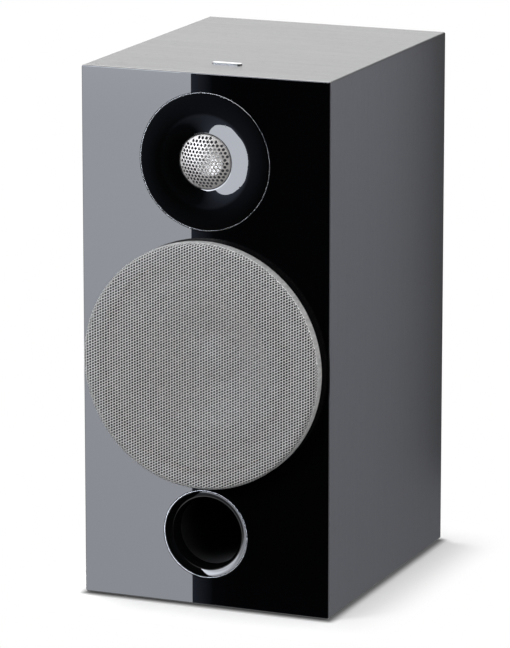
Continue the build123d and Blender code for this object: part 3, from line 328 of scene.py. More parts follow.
def vinyl_wrap(name, colour, roughness, along):
    """Satin film with a faint straight grain along one way."""
    made = Finish(name, colour, {"IOR": 1.5})
    fine = tuple(0.12 if way == along else 1.0 for way in "XYZ")
    long = tuple(0.03 if way == along else 1.0 for way in "XYZ")
    grain = made.noise(0.5, 3.0, fine)
    pores = made.eased(made.noise(0.8, 2.0, fine, distortion=0.4), 0.58, 0.70)
    streak = made.noise(3.4, 3.0, long)
    cloud = made.noise(60.0, 3.0)
    tone = made.toned(colour, streak * 0.6 + cloud * 0.4, 0.30)
    rough = roughness - 0.08 + streak * 0.08 + grain * 0.04 + pores * 0.06
    swell = made.relief(made.noise(14.0, 1.0), 0.005)
    return made.finished(tone, rough, grain - pores * 0.8, 0.012, swell)


def gloss_lacquer(name, colour, waviness, grille):
    """Polished lacquer: almost flat, with the slow swell and fine dust of a sprayed coat,
    and its coat thinned right of the grille as painted shade that hides the grille's reflection there."""
    made = Finish(name, colour, POLISHED)
    radius, _ = made.polar(grille)
    edge = reach("grille_cloth") / MM
    # Painted shade: right of the middle, out to 6-8 mm past the grille's edge, the coat is thinned so the
    # grille side's reflection does not show in the lacquer.
    dull = made.eased(made.axes()[0], 5.0, 25.0) * (1.0 - made.eased(radius, edge + 6, edge + 8))
    made.vary("Coat Weight", 1.0 - dull * 0.85)
    dust = made.dust()
    haze = made.noise(38.0, 4.0)
    tone = made.mixed(dust * 0.35, colour, (0.03, 0.03, 0.032))
    rough = 0.01 + haze * 0.02 + dust * 0.12
    swell = made.relief(made.noise(46.0, 1.0), waviness / MM * 2.5)
    return made.finished(tone, rough, made.noise(7.0, 2.0), waviness / MM * 0.25, swell)


def gloss_moulding(name, colour):
    """Glossy moulded plastic with a little flow ripple."""
    made = Finish(name, colour, {"IOR": 1.5, "Coat Weight": 0.6, "Coat Roughness": 0.02})
    scuff = made.eased(made.noise(1.4, 3.0, (0.3, 1.0, 1.0)), 0.6, 0.8)
    tone = made.toned(colour, made.noise(20.0), 0.15)
    rough = 0.05 + scuff * 0.08
    return made.finished(tone, rough, made.noise(7.0, 2.0), 0.0015)


def polished_plate(name, colour, centre, edge):
    """Black plate, polished brightest in its horn, with a bright-cut edge from a radius out."""
    made = Finish(name, colour, {**POLISHED, "Coat IOR": 1.66})
    radius, _ = made.polar(centre)
    horn = 1.0 - made.eased(radius, *HORN_EDGE)
    cut = made.beyond(radius, edge)
    haze = made.noise(24.0, 4.0)
    dust = made.dust()
    lines = made.wave(radius, 0.11)
    dull = made.mixed(dust * 0.3, colour, (0.02, 0.02, 0.021))
    tone = made.mixed(cut, dull, (0.55, 0.56, 0.58))
    made.vary("Metallic", cut)
    made.vary("Coat Weight", 0.25 + horn * 0.75)
    rough = 0.01 + haze * 0.015 + dust * 0.1 + cut * (0.16 + lines * 0.05)
    return made.finished(tone, rough, made.noise(9.0, 1.0), 0.0003)


def polished_flare(name, colour, centre, edge):
    """Glossy lip with a bright-cut edge, which turns dull down its throat."""
    made = Finish(name, colour, POLISHED)
    _, y, _ = made.axes()
    radius, _ = made.polar(centre)
    throat = made.eased(y - FACE_Y / MM, 1.9, 2.8)
    cut = made.beyond(radius, edge)
    haze = made.noise(16.0, 4.0)
    grit = made.cells(0.32)
    dull = made.toned(colour, made.noise(12.0, 3.0), 0.2)
    tone = made.mixed(cut, dull, (0.50, 0.51, 0.53))
    made.vary("Metallic", cut)
    made.vary("Coat Weight", 1.0 - throat)
    rough = 0.015 + haze * 0.02 + throat * 0.5 + cut * 0.18
    return made.finished(tone, rough, made.noise(9.0, 1.0) + grit * throat * 3.0, 0.0012)


def punched_metal(name, colour):
    """Satin-sprayed pressed metal with a soft speckle."""
    made = Finish(name, colour, {"Metallic": 0.2, "IOR": 1.5})
    speck = made.noise(0.35, 3.0)
    cloud = made.noise(9.0, 3.0)
    tone = made.toned(colour, speck * 0.5 + cloud * 0.5, 0.16)
    rough = 0.42 + speck * 0.12
    return made.finished(tone, rough, speck, 0.02)


def satin_moulding(name, colour, roughness=0.5):
    """Moulded plastic with a fine eroded texture."""
    made = Finish(name, colour, {"IOR": 1.48})
    bite = made.cells(0.32)
    cloud = made.noise(12.0, 3.0)
    tone = made.toned(colour, made.noise(2.0, 4.0), 0.22)
    rough = roughness + cloud * 0.12 - 0.06
    return made.finished(tone, rough, bite + made.noise(0.7, 2.0) * 0.6, 0.022)


def rubber(name, colour):
    """Matt rubber with a bloom and fine pits."""
    made = Finish(name, colour, {"IOR": 1.5})
    bloom = made.noise(16.0, 4.0)
    pits = made.eased(made.noise(0.6, 2.0), 0.62, 0.7)
    tone = made.mixed(bloom * 0.5, colour, tuple(c * 1.9 for c in colour))
    rough = 0.5 + bloom * 0.18 + pits * 0.1
    return made.finished(tone, rough, made.noise(0.4, 3.0) - pits, 0.02)


def foam(name, colour, cell):
    """Closed-cell foam."""
    made = Finish(name, colour, {"IOR": 1.4})
    bubble = made.cells(cell)
    tone = made.toned(colour, made.clipped(1.4 - bubble * 1.6), 0.45)
    rough = 0.85 + bubble * 0.1
    return made.finished(tone, rough, bubble, 0.12)


def felt(name, colour):
    """Loose felted fibre."""
    made = Finish(name, colour, {"Sheen Weight": 0.3, "Sheen Roughness": 0.5})
    fibres = [
        made.cells(1.6, "DISTANCE_TO_EDGE", made.wandering(stretch))
        for stretch in ((1.0, 0.3, 1.0), (0.4, 1.0, 0.5))
    ]
    web = 1.0 - made.eased(made.maths("MINIMUM", *fibres), 0.0, 0.10)
    tuft = made.noise(9.0, 4.0)
    tone = made.toned(colour, made.clipped(web * 0.5 + tuft * 0.6), 0.6)
    rough = 0.95 - web * 0.1
    return made.finished(tone, rough, web * 0.3 + tuft, 0.5)


def fibreboard(name, colour):
    """Pressed wood fibre."""
    made = Finish(name, colour, {"IOR": 1.45})
    fleck = made.noise(0.9, 5.0, (1.0, 2.2, 1.0), distortion=1.5)
    band = made.noise(3.0, 2.0, (0.2, 1.0, 0.2))
    tone = made.toned(colour, made.clipped(fleck * 0.9 + band * 0.2), 0.5)
    rough = 0.75 + fleck * 0.2
    return made.finished(tone, rough, fleck, 0.08)


def bright_metal(name, colour, roughness, brushing=(1.0, 1.0, 1.0), line=0.25):
    """Plated or polished metal, with fine lines along one way."""
    made = Finish(name, colour, {"Metallic": 1.0})
    lines = made.noise(line, 3.0, brushing)
    smear = made.noise(8.0, 3.0)
    tone = made.toned(colour, lines * 0.5 + smear * 0.5, 0.10)
    rough = roughness * 0.7 + smear * roughness * 0.5 + lines * 0.05
    return made.finished(tone, rough, lines, 0.004)


def turned_metal(name, colour, centre):
    """Plated steel that was turned on a lathe: fine rings about its axis."""
    made = Finish(name, colour, {"Metallic": 1.0})
    radius, _ = made.polar(centre)
    rings = made.wave(radius + made.noise(3.0) * 0.3, 0.4)
    stain = made.noise(11.0, 4.0)
    tone = made.mixed(stain * 0.5, colour, (0.62, 0.60, 0.50))
    rough = 0.24 + stain * 0.22
    return made.finished(tone, rough, rings, 0.01)


def ferrite(name, colour):
    """Sintered ferrite: dark, dry and speckled, ground on its faces."""
    made = Finish(name, colour, {"IOR": 1.9})
    grit = made.specks(0.45)
    tone = made.toned(colour, grit * 0.7 + made.noise(6.0, 4.0) * 0.3, 0.5)
    rough = 0.45 + grit * 0.3
    return made.finished(tone, rough, grit * 0.4 + made.noise(0.5, 3.0), 0.03)


def powder_coat(name, colour):
    """Fine leathery powder coat over a casting."""
    made = Finish(name, colour, {"IOR": 1.5})
    skin = made.cells(0.55, "SMOOTH_F1")
    tone = made.toned(colour, made.noise(10.0, 4.0), 0.25)
    rough = 0.42 + skin * 0.2
    return made.finished(tone, rough, skin, 0.05, made.relief(made.noise(5.0, 2.0), 0.05))


def pressed_fibre(name, colour, fleck_colour, centre):
    """Cone material: short pale fibres laid every way in a dark coated sheet."""
    made = Finish(name, colour, {"IOR": 1.5})
    radius, angle = made.polar(centre)
    sheet = made.point(radius * 0.35, angle * 9.0, 0.0)
    across = made.noise(0.55, 3.0, at=made.point(radius, angle * 3.0, 0.0), distortion=2.5)
    streak = made.noise(0.8, 4.0, at=sheet, distortion=1.2)
    fibres = made.greatest(made.eased(streak, 0.52, 0.68), made.eased(across, 0.58, 0.7) * 0.6)
    tone = made.mixed(fibres * 0.8, colour, fleck_colour)
    rough = 0.42 - fibres * 0.10
    return made.finished(tone, rough, fibres, 0.03, made.relief(made.noise(6.0, 2.0), 0.03))


def resin_cloth(name, colour):
    """Open cotton weave dipped in resin."""
    made = Finish(name, colour, {"IOR": 1.5})
    x, _, z = made.axes()
    thread = made.greatest(made.wave(x, 0.7), made.wave(z, 0.7))
    tone = made.toned(colour, made.clipped(thread), 0.45)
    rough = 0.6 + thread * 0.15
    return made.finished(tone, rough, thread, 0.12)


def winding(name, colour, pitch):
    """Close turns of enamelled wire along a front-to-back axis."""
    made = Finish(name, colour, {"Metallic": 0.9})
    turn = made.wave(made.axes()[1], pitch)
    tone = made.toned(colour, turn * 0.6 + made.noise(2.0) * 0.4, 0.4)
    rough = 0.28 + (1.0 - turn) * 0.2
    return made.finished(tone, rough, turn, pitch * 0.3)


def laminate(name, colour):
    """Printed circuit laminate: tracks under a green mask, over a woven core."""
    made = Finish(name, colour, {"IOR": 1.55})
    x, _, z = made.axes()
    weave = made.greatest(made.wave(x, 0.6), made.wave(z, 0.6))
    lanes = made.wave(made.noise(18.0, 1.0) * 40.0 + x * 0.4, 7.0)
    track = made.eased(lanes, 0.45, 0.52)
    copper = made.mixed(track, colour, tuple(c * 2.1 for c in colour))
    tone = made.mixed(weave * 0.12, copper, (0.5, 0.55, 0.3))
    rough = 0.22 + weave * 0.12
    return made.finished(tone, rough, track + weave * 0.1, 0.04)


def knitted_cloth(name, looks, centre):
    """Grey knit: twisted yarn of uneven shade, with painted shade where it sinks to an opening, and a
    smooth band where the cloth is stretched down the side."""
    colour = looks.yarn_colour
    made = Finish(name, colour, {"Sheen Weight": 0.1, "Sheen Roughness": 0.5})
    x, y, z = made.axes()
    _, angle = made.polar(centre)
    across, up = x - centre.x / MM, z - centre.z / MM
    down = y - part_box("grille_cloth")[0].y / MM
    sunk = made.node("ShaderNodeAttribute", "Fac", {"attribute_name": "sunk"})
    stitch = made.specks(1.1)
    twist = made.wave(across * 1.1 + up + made.noise(1.3) * 0.5, 0.5)
    fuzz = made.noise(0.2, 4.0)
    solid = made.node("ShaderNodeAttribute", "Fac", {"attribute_name": "solid"})
    band = made.greatest(made.clipped(solid * 3.0), made.eased(down, *BAND_START))
    pull = made.noise(1.6, 3.0, at=made.point(angle * 60.0, y * 0.2, 0.0))
    # Painted shade: the yarn's colour darkens as it dips towards an opening, and its crown is painted
    # lighter.
    knit = stitch * 0.14 + fuzz * 0.16 + twist * 0.40 + 0.60 - sunk * 2.2
    shade = knit * (1.0 - band) + (pull * 0.6 + fuzz * 0.2) * band
    tone = made.toned(colour, made.clipped(shade), 0.88)
    rough = 0.8 + fuzz * 0.15
    height = (twist * 0.5 + stitch * 0.3) * (1.0 - band) + pull * band
    return made.finished(tone, rough, height + fuzz * 0.4, 0.14)


def dress(material, *nodes):
    """Puts one finish on CAD nodes."""
    for node in nodes:
        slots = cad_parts[node].data.materials
        slots.clear()
        slots.append(material)


# ---- shapes


# Each opening's corner as shares of the pitches, and how far openings differ.
STITCH_CORNER = (0.49, 0.59)
SIZE_RANGE = (0.93, 1.03)
LEAN_SPREAD = 0.08  # radians
PLACE_SPREAD = 0.04  # millimetres
SHOULDER = (0.3, 0.35)  # share of the way out, and of the dip, where the yarn turns over
CLOTH_STEPS = 300  # points round the smooth edge
HEM_GAP = 0.2 * MM
TURN_IN = 2.2 * MM


def put(name, mesh, material, smooth=True):
    """An object in the scene from a mesh and one finish."""
    mesh.polygons.foreach_set("use_smooth", [smooth] * len(mesh.polygons))
    mesh.materials.append(material)
    made = bpy.data.objects.new(name, mesh)
    bpy.context.scene.collection.objects.link(made)
    return made


def make_mesh(name, points, faces, material, smooth=True):
    """A mesh object from points in metres and faces."""
    mesh = bpy.data.meshes.new(name)
    mesh.from_pydata([tuple(p) for p in points], [], faces)
    mesh.validate()
    return put(name, mesh, material, smooth)


def settle(name, built, material):
    """A smooth mesh object from a bmesh, which is then freed."""
    mesh = bpy.data.meshes.new(name)
    built.to_mesh(mesh)
    built.free()
    return put(name, mesh, material)


def lathe(centre, profile, start, sweep, steps):
    """Points and faces of a profile of (radius, y) turned about a front-to-back axis.
    A full turn joins up with itself, and a profile whose ends meet is closed."""
    full = abs(sweep - 2 * math.pi) < 1e-6
    rows = steps if full else steps + 1
    count = len(profile)
    points = [
        (centre.x + r * math.cos(a), y, centre.z + r * math.sin(a))
        for a in (start + sweep * i / steps for i in range(rows))
        for r, y in profile
    ]
    faces = []
    for i in range(rows if full else rows - 1):
        here, there = i * count, (i + 1) % rows * count
        faces += [(here + k, here + k + 1, there + k + 1, there + k) for k in range(count - 1)]
    return points, faces


def over_rim(flat, face, bend, depth):
    """Radius, depth and tilt, on the grille, of a point of the cloth at a flat radius."""
    turn = (flat - face) / bend
    if turn <= 0:
        return flat, 0.0, 0.0
    if turn <= math.pi / 2:
        return face + bend * math.sin(turn), bend * (1 - math.cos(turn)), turn
    down = flat - face - bend * math.pi / 2
    return face + bend, min(depth, bend + down), math.pi / 2


def knit_face(radius, looks):
    """Flat round of knit with an opening in each stitch. Gives a bmesh in metres about the
    axis, with x across, z up, and y the height below the crown of the yarn, and the corners
    that neighbouring stitches share."""
    rng = random.Random(7)
    column, row, roll = looks.column_pitch, looks.row_pitch, looks.yarn_roll
    far = (column * STITCH_CORNER[0], row * STITCH_CORNER[1])
    ring = [(column - far[0], row / 2 - far[1]), far, (-far[0], row - far[1])]
    ring += [(-a, -b) for a, b in ring]
    margin = math.hypot(*far)
    made = bmesh.new()
    for layer in ("sunk", "solid"):
        made.verts.layers.float.new(layer)
    shared = {}

    def corner(x, z):
        key = (round(x * 1e6), round(z * 1e6))
        if key not in shared:
            shared[key] = made.verts.new((x, 0.0, z))
        return shared[key]

    wide, high = int(radius / column) + 1, int(radius / row) + 1
    for i in range(-wide, wide + 1):
        for j in range(-high, high + 1):
            x, z = i * column, j * row + (row / 2 if i % 2 else 0.0)
            if math.hypot(x, z) > radius - margin:
                continue
            size = rng.uniform(*SIZE_RANGE)
            lean = looks.opening_lean + rng.uniform(-LEAN_SPREAD, LEAN_SPREAD)
            x_in = x + rng.uniform(-PLACE_SPREAD, PLACE_SPREAD) * MM
            z_in = z + rng.uniform(-PLACE_SPREAD, PLACE_SPREAD) * MM
            outer = [corner(x + a, z + b) for a, b in ring]
            edge, shoulder = [], []
            for (a, b), vertex in zip(ring, outer):
                turn = math.atan2(b, a) - lean
                u = looks.opening_height / 2 * size * math.cos(turn)
                v = looks.opening_width / 2 * size * math.sin(turn)
                px = x_in + u * math.cos(lean) - v * math.sin(lean)
                pz = z_in + u * math.sin(lean) + v * math.cos(lean)
                edge.append(made.verts.new((px, roll, pz)))
                dx, dz = vertex.co.x - px, vertex.co.z - pz
                over = (px + dx * SHOULDER[0], roll * SHOULDER[1], pz + dz * SHOULDER[0])
                shoulder.append(made.verts.new(over))
            for k in range(6):
                n = (k + 1) % 6
                made.faces.new((outer[k], outer[n], shoulder[n], shoulder[k]))
                made.faces.new((shoulder[k], shoulder[n], edge[n], edge[k]))
    return made, set(shared.values())


def knitted_cover(name, looks, material):
    """The grille's cloth: knit that is pulled over the rim, a smooth edge and a turned-in
    hem. Gives the piece and the width it was cut to."""
    low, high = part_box("grille_cloth")
    centre = middle("grille_cloth")
    outside, front = reach("grille_cloth"), low.y
    bend, depth = looks.rim_radius, high.y - low.y
    face = outside - bend
    hem = face + bend * math.pi / 2 + depth - bend
    knitted = hem - looks.smooth_edge
    made, corners = knit_face(knitted, looks)
    ragged = [e for e in made.edges if e.is_boundary and set(e.verts) <= corners]
    steps = CLOTH_STEPS
    ways = [(math.cos(a), math.sin(a)) for a in (2 * math.pi * i / steps for i in range(steps))]

    def round_of(flat, sunk=0.0):
        return [made.verts.new((flat * c, sunk, flat * s)) for c, s in ways]

    rounds = [round_of(knitted + HEM_GAP)]
    loop = [made.edges.new((rounds[0][i], rounds[0][i - 1])) for i in range(steps)]
    bmesh.ops.triangle_fill(made, use_beauty=True, edges=ragged + loop, normal=(0, -1, 0))
    rows = max(2, round((hem - knitted) / (1.6 * MM)))
    band = hem - knitted - 0.5 * MM
    rounds += [round_of(knitted + HEM_GAP + band * k / rows) for k in range(1, rows + 1)]
    turned_in = [round_of(outside - HEM_GAP), round_of(outside - TURN_IN)]
    hemmed = set(turned_in[0]) | set(turned_in[1])
    smooth = hemmed.union(*rounds)
    sunk_layer, solid_layer = (made.verts.layers.float[name] for name in ("sunk", "solid"))
    for vertex in made.verts:
        x, sunk, z = vertex.co
        vertex[sunk_layer] = sunk / looks.yarn_roll
        vertex[solid_layer] = 1.0 if vertex in smooth else 0.0
        if vertex in hemmed:
            vertex.co = (x, depth - 0.05 * MM, z)
            continue
        flat = math.hypot(x, z)
        radius, down, turn = over_rim(flat, face, bend, depth)
        radius -= sunk * math.sin(turn)
        share = radius / flat if flat else 1.0
        vertex.co = (x * share, down + sunk * math.cos(turn), z * share)
    rounds += turned_in
    for before, now in zip(rounds, rounds[1:]):
        for i in range(steps):
            made.faces.new((before[i - 1], before[i], now[i], now[i - 1]))
    bmesh.ops.recalc_face_normals(made, faces=made.faces)
    bmesh.ops.translate(made, verts=made.verts, vec=(centre.x, front, centre.z))
    return settle(name, made, material), 2 * (hem + TURN_IN)


def pad(name, low, high, material, seed):
    """A soft block of wadding: crowned faces, round corners and a lumpy skin."""
    size = high - low
    made = bmesh.new()
    bmesh.ops.create_cube(made, size=2.0)
    bmesh.ops.subdivide_edges(made, edges=made.edges[:], cuts=22, use_grid_fill=True)
    shift = Vector((seed * 7.3, seed * 3.1, seed * 5.7))
    for vertex in made.verts:
        c = vertex.co
        spot = Vector((0.0, 0.0, 0.0))
        for k in range(3):
            fall = 1 - 0.12 * c[(k + 1) % 3] ** 8 - 0.12 * c[(k + 2) % 3] ** 8
            spot[k] = c[k] * math.sqrt(max(0.0, fall)) * size[k] / 2
        lump = noise.fractal(spot * 90 + shift, 1.0, 2.0, 4)
        inward = 0.992 - 0.5 * MM / min(size) - max(0.0, 0.5 - lump) * 1.6 * MM / min(size)
        vertex.co = (low + high) / 2 + spot * inward
    return settle(name, made, material)


# ---- settings


def level(label, description, default, **kind):
    """A setting that is a plain number."""
    return FloatProperty(name=label, description=description, default=default, **kind)


def span(label, description, default):
    """A setting that is a length."""
    kind = {"precision": 5, "subtype": "DISTANCE", "unit": "LENGTH"}
    return level(label, description, default, min=0.0, **kind)


def tilt(label, description, degrees):
    """A setting that is an angle."""
    kind = {"subtype": "ANGLE", "unit": "ROTATION"}
    return level(label, description, math.radians(degrees), **kind)


def tint(label, description, default):
    """A setting that is a colour."""
    kind = {"min": 0.0, "max": 1.0, "size": 3, "subtype": "COLOR"}
    return FloatVectorProperty(name=label, description=description, default=default, **kind)


class CabinetSettings(bpy.types.PropertyGroup):
    """Finish of the cabinet."""

    vinyl_colour: tint(
        "Vinyl colour", "Colour of the film on the sides, top and back", (0.020, 0.020, 0.021)
    )
    vinyl_roughness: level(
        "Vinyl roughness", "How satin the film is", 0.40, min=0.0, max=1.0, subtype="FACTOR"
    )
    lacquer_colour: tint("Lacquer colour", "Colour of the polished front", (0.0012, 0.0013, 0.0017))
    lacquer_swell: span("Lacquer swell", "Depth of the slow waves in the sprayed coat", 0.000002)
    badge_colour: tint("Badge colour", "Colour of the plate on top", (0.27, 0.275, 0.28))


class GrilleSettings(bpy.types.PropertyGroup):
    """Knit of the grille cloth."""

    yarn_colour: tint("Yarn colour", "Colour of the knit", (0.68, 0.68, 0.676))
    column_pitch: span("Column pitch", "Distance between two columns of openings", 0.00227)
    row_pitch: span("Row pitch", "Distance between two openings of a column", 0.00227)
    opening_height: span("Opening height", "Longer size of an opening", 0.00235)
    opening_width: span("Opening width", "Shorter size of an opening", 0.00136)
    opening_lean: tilt("Opening lean", "Angle of the openings from level", 54)
    yarn_roll: span("Yarn roll", "How far the knit dips at the edge of an opening", 0.00032)
    rim_radius: span("Rim radius", "Bend of the cloth over the frame", 0.0025)
    smooth_edge: span(
        "Smooth edge", "Width of the band at the back edge that is stretched shut", 0.0075
    )


class DriverSettings(bpy.types.PropertyGroup):
    """Finish of the two drivers."""

    cone_colour: tint("Cone colour", "Coated sheet of the cone", (0.030, 0.031, 0.033))
    fibre_colour: tint("Fibre colour", "Fibres in the cone", (0.20, 0.20, 0.21))
    rubber_colour: tint("Rubber colour", "Colour of the surround", (0.012, 0.012, 0.013))
    dome_colour: tint("Dome colour", "Metal of the dome", (0.42, 0.41, 0.395))
    guard_colour: tint(
        "Guard colour", "Colour of the perforated guard over the dome", (0.47, 0.455, 0.442)
    )
    surround_parts: IntProperty(
        name="Surround parts",
        description="Number of sectors that the surround bends in",
        default=12,
        min=8,
        max=24,
    )


class TerminalSettings(bpy.types.PropertyGroup):
    """Finish of the terminals and the insides."""

    positive_colour: tint("Positive cap", "Colour of the positive cap", (0.50, 0.012, 0.012))
    negative_colour: tint("Negative cap", "Colour of the negative cap", (0.012, 0.012, 0.012))
    plating_colour: tint("Plating", "Colour of the plated posts", (0.86, 0.64, 0.30))
    board_colour: tint("Board", "Colour of the crossover board", (0.020, 0.10, 0.045))


class StudioSettings(bpy.types.PropertyGroup):
    """Camera, lamps and floor."""

    camera_place: FloatVectorProperty(
        name="Camera place",
        description="Where the camera stands",
        default=(1.3777, -3.3488, 1.0439),
        size=3,
        subtype="XYZ",
        unit="LENGTH",
    )
    camera_azimuth: tilt(
        "Camera azimuth", "Angle of the view round the speaker, from straight on", 22.473
    )
    camera_elevation: tilt("Camera elevation", "Angle of the view above level", 13.036)
    lens: level("Lens", "Focal length of the camera in millimetres", 254.57)
    room_light: level("Room light", "Strength of the even light of the room", 0.37)
    key_light: level("Key light", "Power of the large lamp in front", 8.0)
    left_light: level("Left light", "Power of the soft lamp on the left", 3.8)
    top_light: level("Top light", "Power of the lamp overhead", 28.0)
    side_light: level("Side light", "Power of the soft lamp on the right", 6.5)
    floor_glow: level("Floor glow", "White that the floor adds to the light on it", 0.22)
    panel_glow: level("Panel glow", "Brightness of the long panel that shows in the lacquer", 7.9)
    rear_glow: level("Rear glow", "Brightness of the panel behind that shows in the top", 1.08)
    panel_edge: span(
        "Panel edge", "Where the panel's reflection ends on the front, left of the middle", 0.0115
    )


# ---- operators


class SPEAKER_OT_cabinet(bpy.types.Operator):
    """Wrap the cabinet, polish its front, and finish its feet and its badge"""

    bl_idname = "speaker.cabinet"
    bl_label = "Cabinet"

    def execute(self, context):
        looks = context.scene.speaker_cabinet
        film = looks.vinyl_colour, looks.vinyl_roughness
        upright = "left_side_panel", "right_side_panel", "rear_panel"
        dress(vinyl_wrap("upright_vinyl", *film, "Z"), *upright)
        dress(vinyl_wrap("level_vinyl", *film, "X"), "top_panel", "bottom_panel")
        coat = looks.lacquer_colour, looks.lacquer_swell
        dress(gloss_lacquer("gloss_lacquer", *coat, WOOFER), "gloss_front_panel")
        dress(rubber("foot_rubber", (0.016, 0.016, 0.016)), "foot_pads")
        badge = bright_metal("badge_plate", looks.badge_colour, 0.12, (0.1, 1.0, 1.0), 0.12)
        dress(badge, "top_badge")
        return {"FINISHED"}


class SPEAKER_OT_insides(bpy.types.Operator):
    """Finish the boards inside the cabinet, lay in the wadding, and dress the crossover"""

    bl_idname = "speaker.insides"
    bl_label = "Insides"

    def execute(self, context):
        looks = context.scene.speaker_terminals
        board = fibreboard("fibreboard", (0.36, 0.23, 0.13))
        dress(board, "front_baffle", "window_brace")
        wadding = felt("felted_wadding", (0.13, 0.13, 0.15))
        skin = np.array([v.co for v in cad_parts["acoustic_wadding"].data.vertices])
        halves = ("left", skin[skin[:, 0] < 0]), ("right", skin[skin[:, 0] > 0])
        for seed, (side, part) in enumerate(halves, 1):
            low, high = Vector(part.min(0)), Vector(part.max(0))
            block = pad(f"wadding_{side}", low, high, wadding, seed)
            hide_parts("acoustic_wadding")
            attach(block, "cabinet")
        dress(laminate("board_laminate", looks.board_colour), "crossover_board")
        dress(satin_moulding("standoff_plastic", (0.03, 0.03, 0.03)), "crossover_standoffs")
        dress(winding("choke_wire", (0.72, 0.30, 0.14), 0.9), "crossover_inductors")
        dress(gloss_moulding("film_wrap", (0.62, 0.42, 0.07)), "crossover_capacitors")
        dress(satin_moulding("ceramic_case", (0.72, 0.70, 0.64), 0.7), "crossover_resistors")
        dress(gloss_moulding("lead_sleeve", (0.10, 0.012, 0.012)), "internal_leads")
        return {"FINISHED"}


class SPEAKER_OT_woofer(bpy.types.Operator):
    """Finish the woofer's basket, cone, motor and fixings"""

    bl_idname = "speaker.woofer"
    bl_label = "Woofer"

    def execute(self, context):
        looks = context.scene.speaker_drivers
        dress(powder_coat("cast_basket", (0.022, 0.022, 0.023)), "woofer_basket")
        cone = pressed_fibre("coated_cone", looks.cone_colour, looks.fibre_colour, WOOFER)
        dress(cone, "woofer_cone", "woofer_dust_cap")
        dress(resin_cloth("resin_cloth", (0.50, 0.34, 0.13)), "woofer_spider")
        dress(foam("gasket_foam", (0.03, 0.03, 0.032), 0.7), "woofer_gasket", "tweeter_gasket")
        black = bright_metal("black_oxide", (0.05, 0.05, 0.052), 0.4)
        dress(black, "woofer_screws", "tweeter_screws")
        dress(bright_metal("foil", (0.78, 0.78, 0.79), 0.25, (1.0, 8.0, 1.0)), "woofer_coil_former")
        wire = winding("coil_wire", (0.72, 0.30, 0.14), 0.35)
        dress(wire, "woofer_voice_coil", "tweeter_voice_coil")
        steel = turned_metal("motor_steel", (0.56, 0.57, 0.58), WOOFER)
        dress(steel, "woofer_top_plate", "woofer_yoke", "post_nuts")
        dress(ferrite("ferrite", (0.045, 0.045, 0.05)), "woofer_magnet")
        brass = bright_metal("tinned_brass", (0.75, 0.66, 0.45), 0.3)
        dress(brass, "woofer_tags", "tweeter_tags", "solder_tags")
        return {"FINISHED"}


class SPEAKER_OT_surround(bpy.types.Operator):
    """Make the woofer's rubber surround, which rolls between the basket and the cone"""

    bl_idname = "speaker.surround"
    bl_label = "Surround"

    def execute(self, context):
        looks = context.scene.speaker_drivers
        skin = rubber("surround_rubber", looks.rubber_colour)
        low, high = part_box("woofer_surround")
        lip, roll, thick = 4.0 * MM, 14.0 * MM, 0.7 * MM
        foot, inner = reach("woofer_surround"), reach("woofer_cone") - lip
        roll_in, roll_out = reach("woofer_cone"), reach("woofer_cone") + roll
        mid, bend = (roll_in + roll_out) / 2, (roll_out - roll_in) / 2
        flat, back = high.y - thick, high.y
        crest = flat - low.y

        def arch(radius, rise, steps, way):
            turns = [math.pi * i / steps for i in range(steps + 1)][::way]
            return [(mid - radius * math.cos(t), flat - rise * math.sin(t) ** 0.9) for t in turns]

        outline = [(inner, back), (inner, flat + 0.1 * MM), (inner + 0.3 * MM, flat)]
        outline += [(roll_in - 0.6 * MM, flat), *arch(bend, crest, 20, 1)]
        outline += [(roll_out + 0.6 * MM, flat), (foot - 0.3 * MM, flat)]
        outline += [(foot, flat + 0.2 * MM), (foot, back), (roll_out - thick, back)]
        outline += arch(bend - thick, crest - thick, 20, -1)
        outline += [(roll_in + thick, back), (inner, back)]
        parts = looks.surround_parts
        sweep = 2 * math.pi / parts
        for i in range(parts):
            start = (i - 0.5) * sweep
            points, faces = lathe(WOOFER, outline, start, sweep, 20)
            piece = make_mesh(f"woofer_surround_{i + 1:02d}", points, faces, skin)
            piece.data.set_sharp_from_angle(angle=math.radians(50))
            way = Vector((math.cos(i * sweep), 0.0, math.sin(i * sweep)))
            centre = Vector((WOOFER.x, flat, WOOFER.z))
            outer = centre + way * (roll_out * math.cos(sweep / 2) - 0.4 * MM)
            inmost = centre + way * (roll_in + 0.3 * MM)
            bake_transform(piece, "cabinet", "woofer_moving", start=outer, end=inmost)
            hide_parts("woofer_surround")
        return {"FINISHED"}


class SPEAKER_OT_grille(bpy.types.Operator):
    """Knit the grille cloth over its frame, and finish the frame and its magnets"""

    bl_idname = "speaker.grille"
    bl_label = "Grille"

    def execute(self, context):
        looks = context.scene.speaker_grille
        dress(satin_moulding("grille_frame", (0.018, 0.018, 0.018), 0.55), "grille_frame")
        nickel = bright_metal("nickel", (0.66, 0.65, 0.62), 0.2)
        dress(nickel, "grille_magnets", "baffle_magnets", "tweeter_magnet")
        centre = middle("grille_cloth")
        yarn = knitted_cloth("grey_knit", looks, centre)
        cloth, width = knitted_cover("grille_knit", looks, yarn)
        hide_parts("grille_cloth")
        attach(cloth, "grille")
        math.pi * width**2 / 4
        return {"FINISHED"}


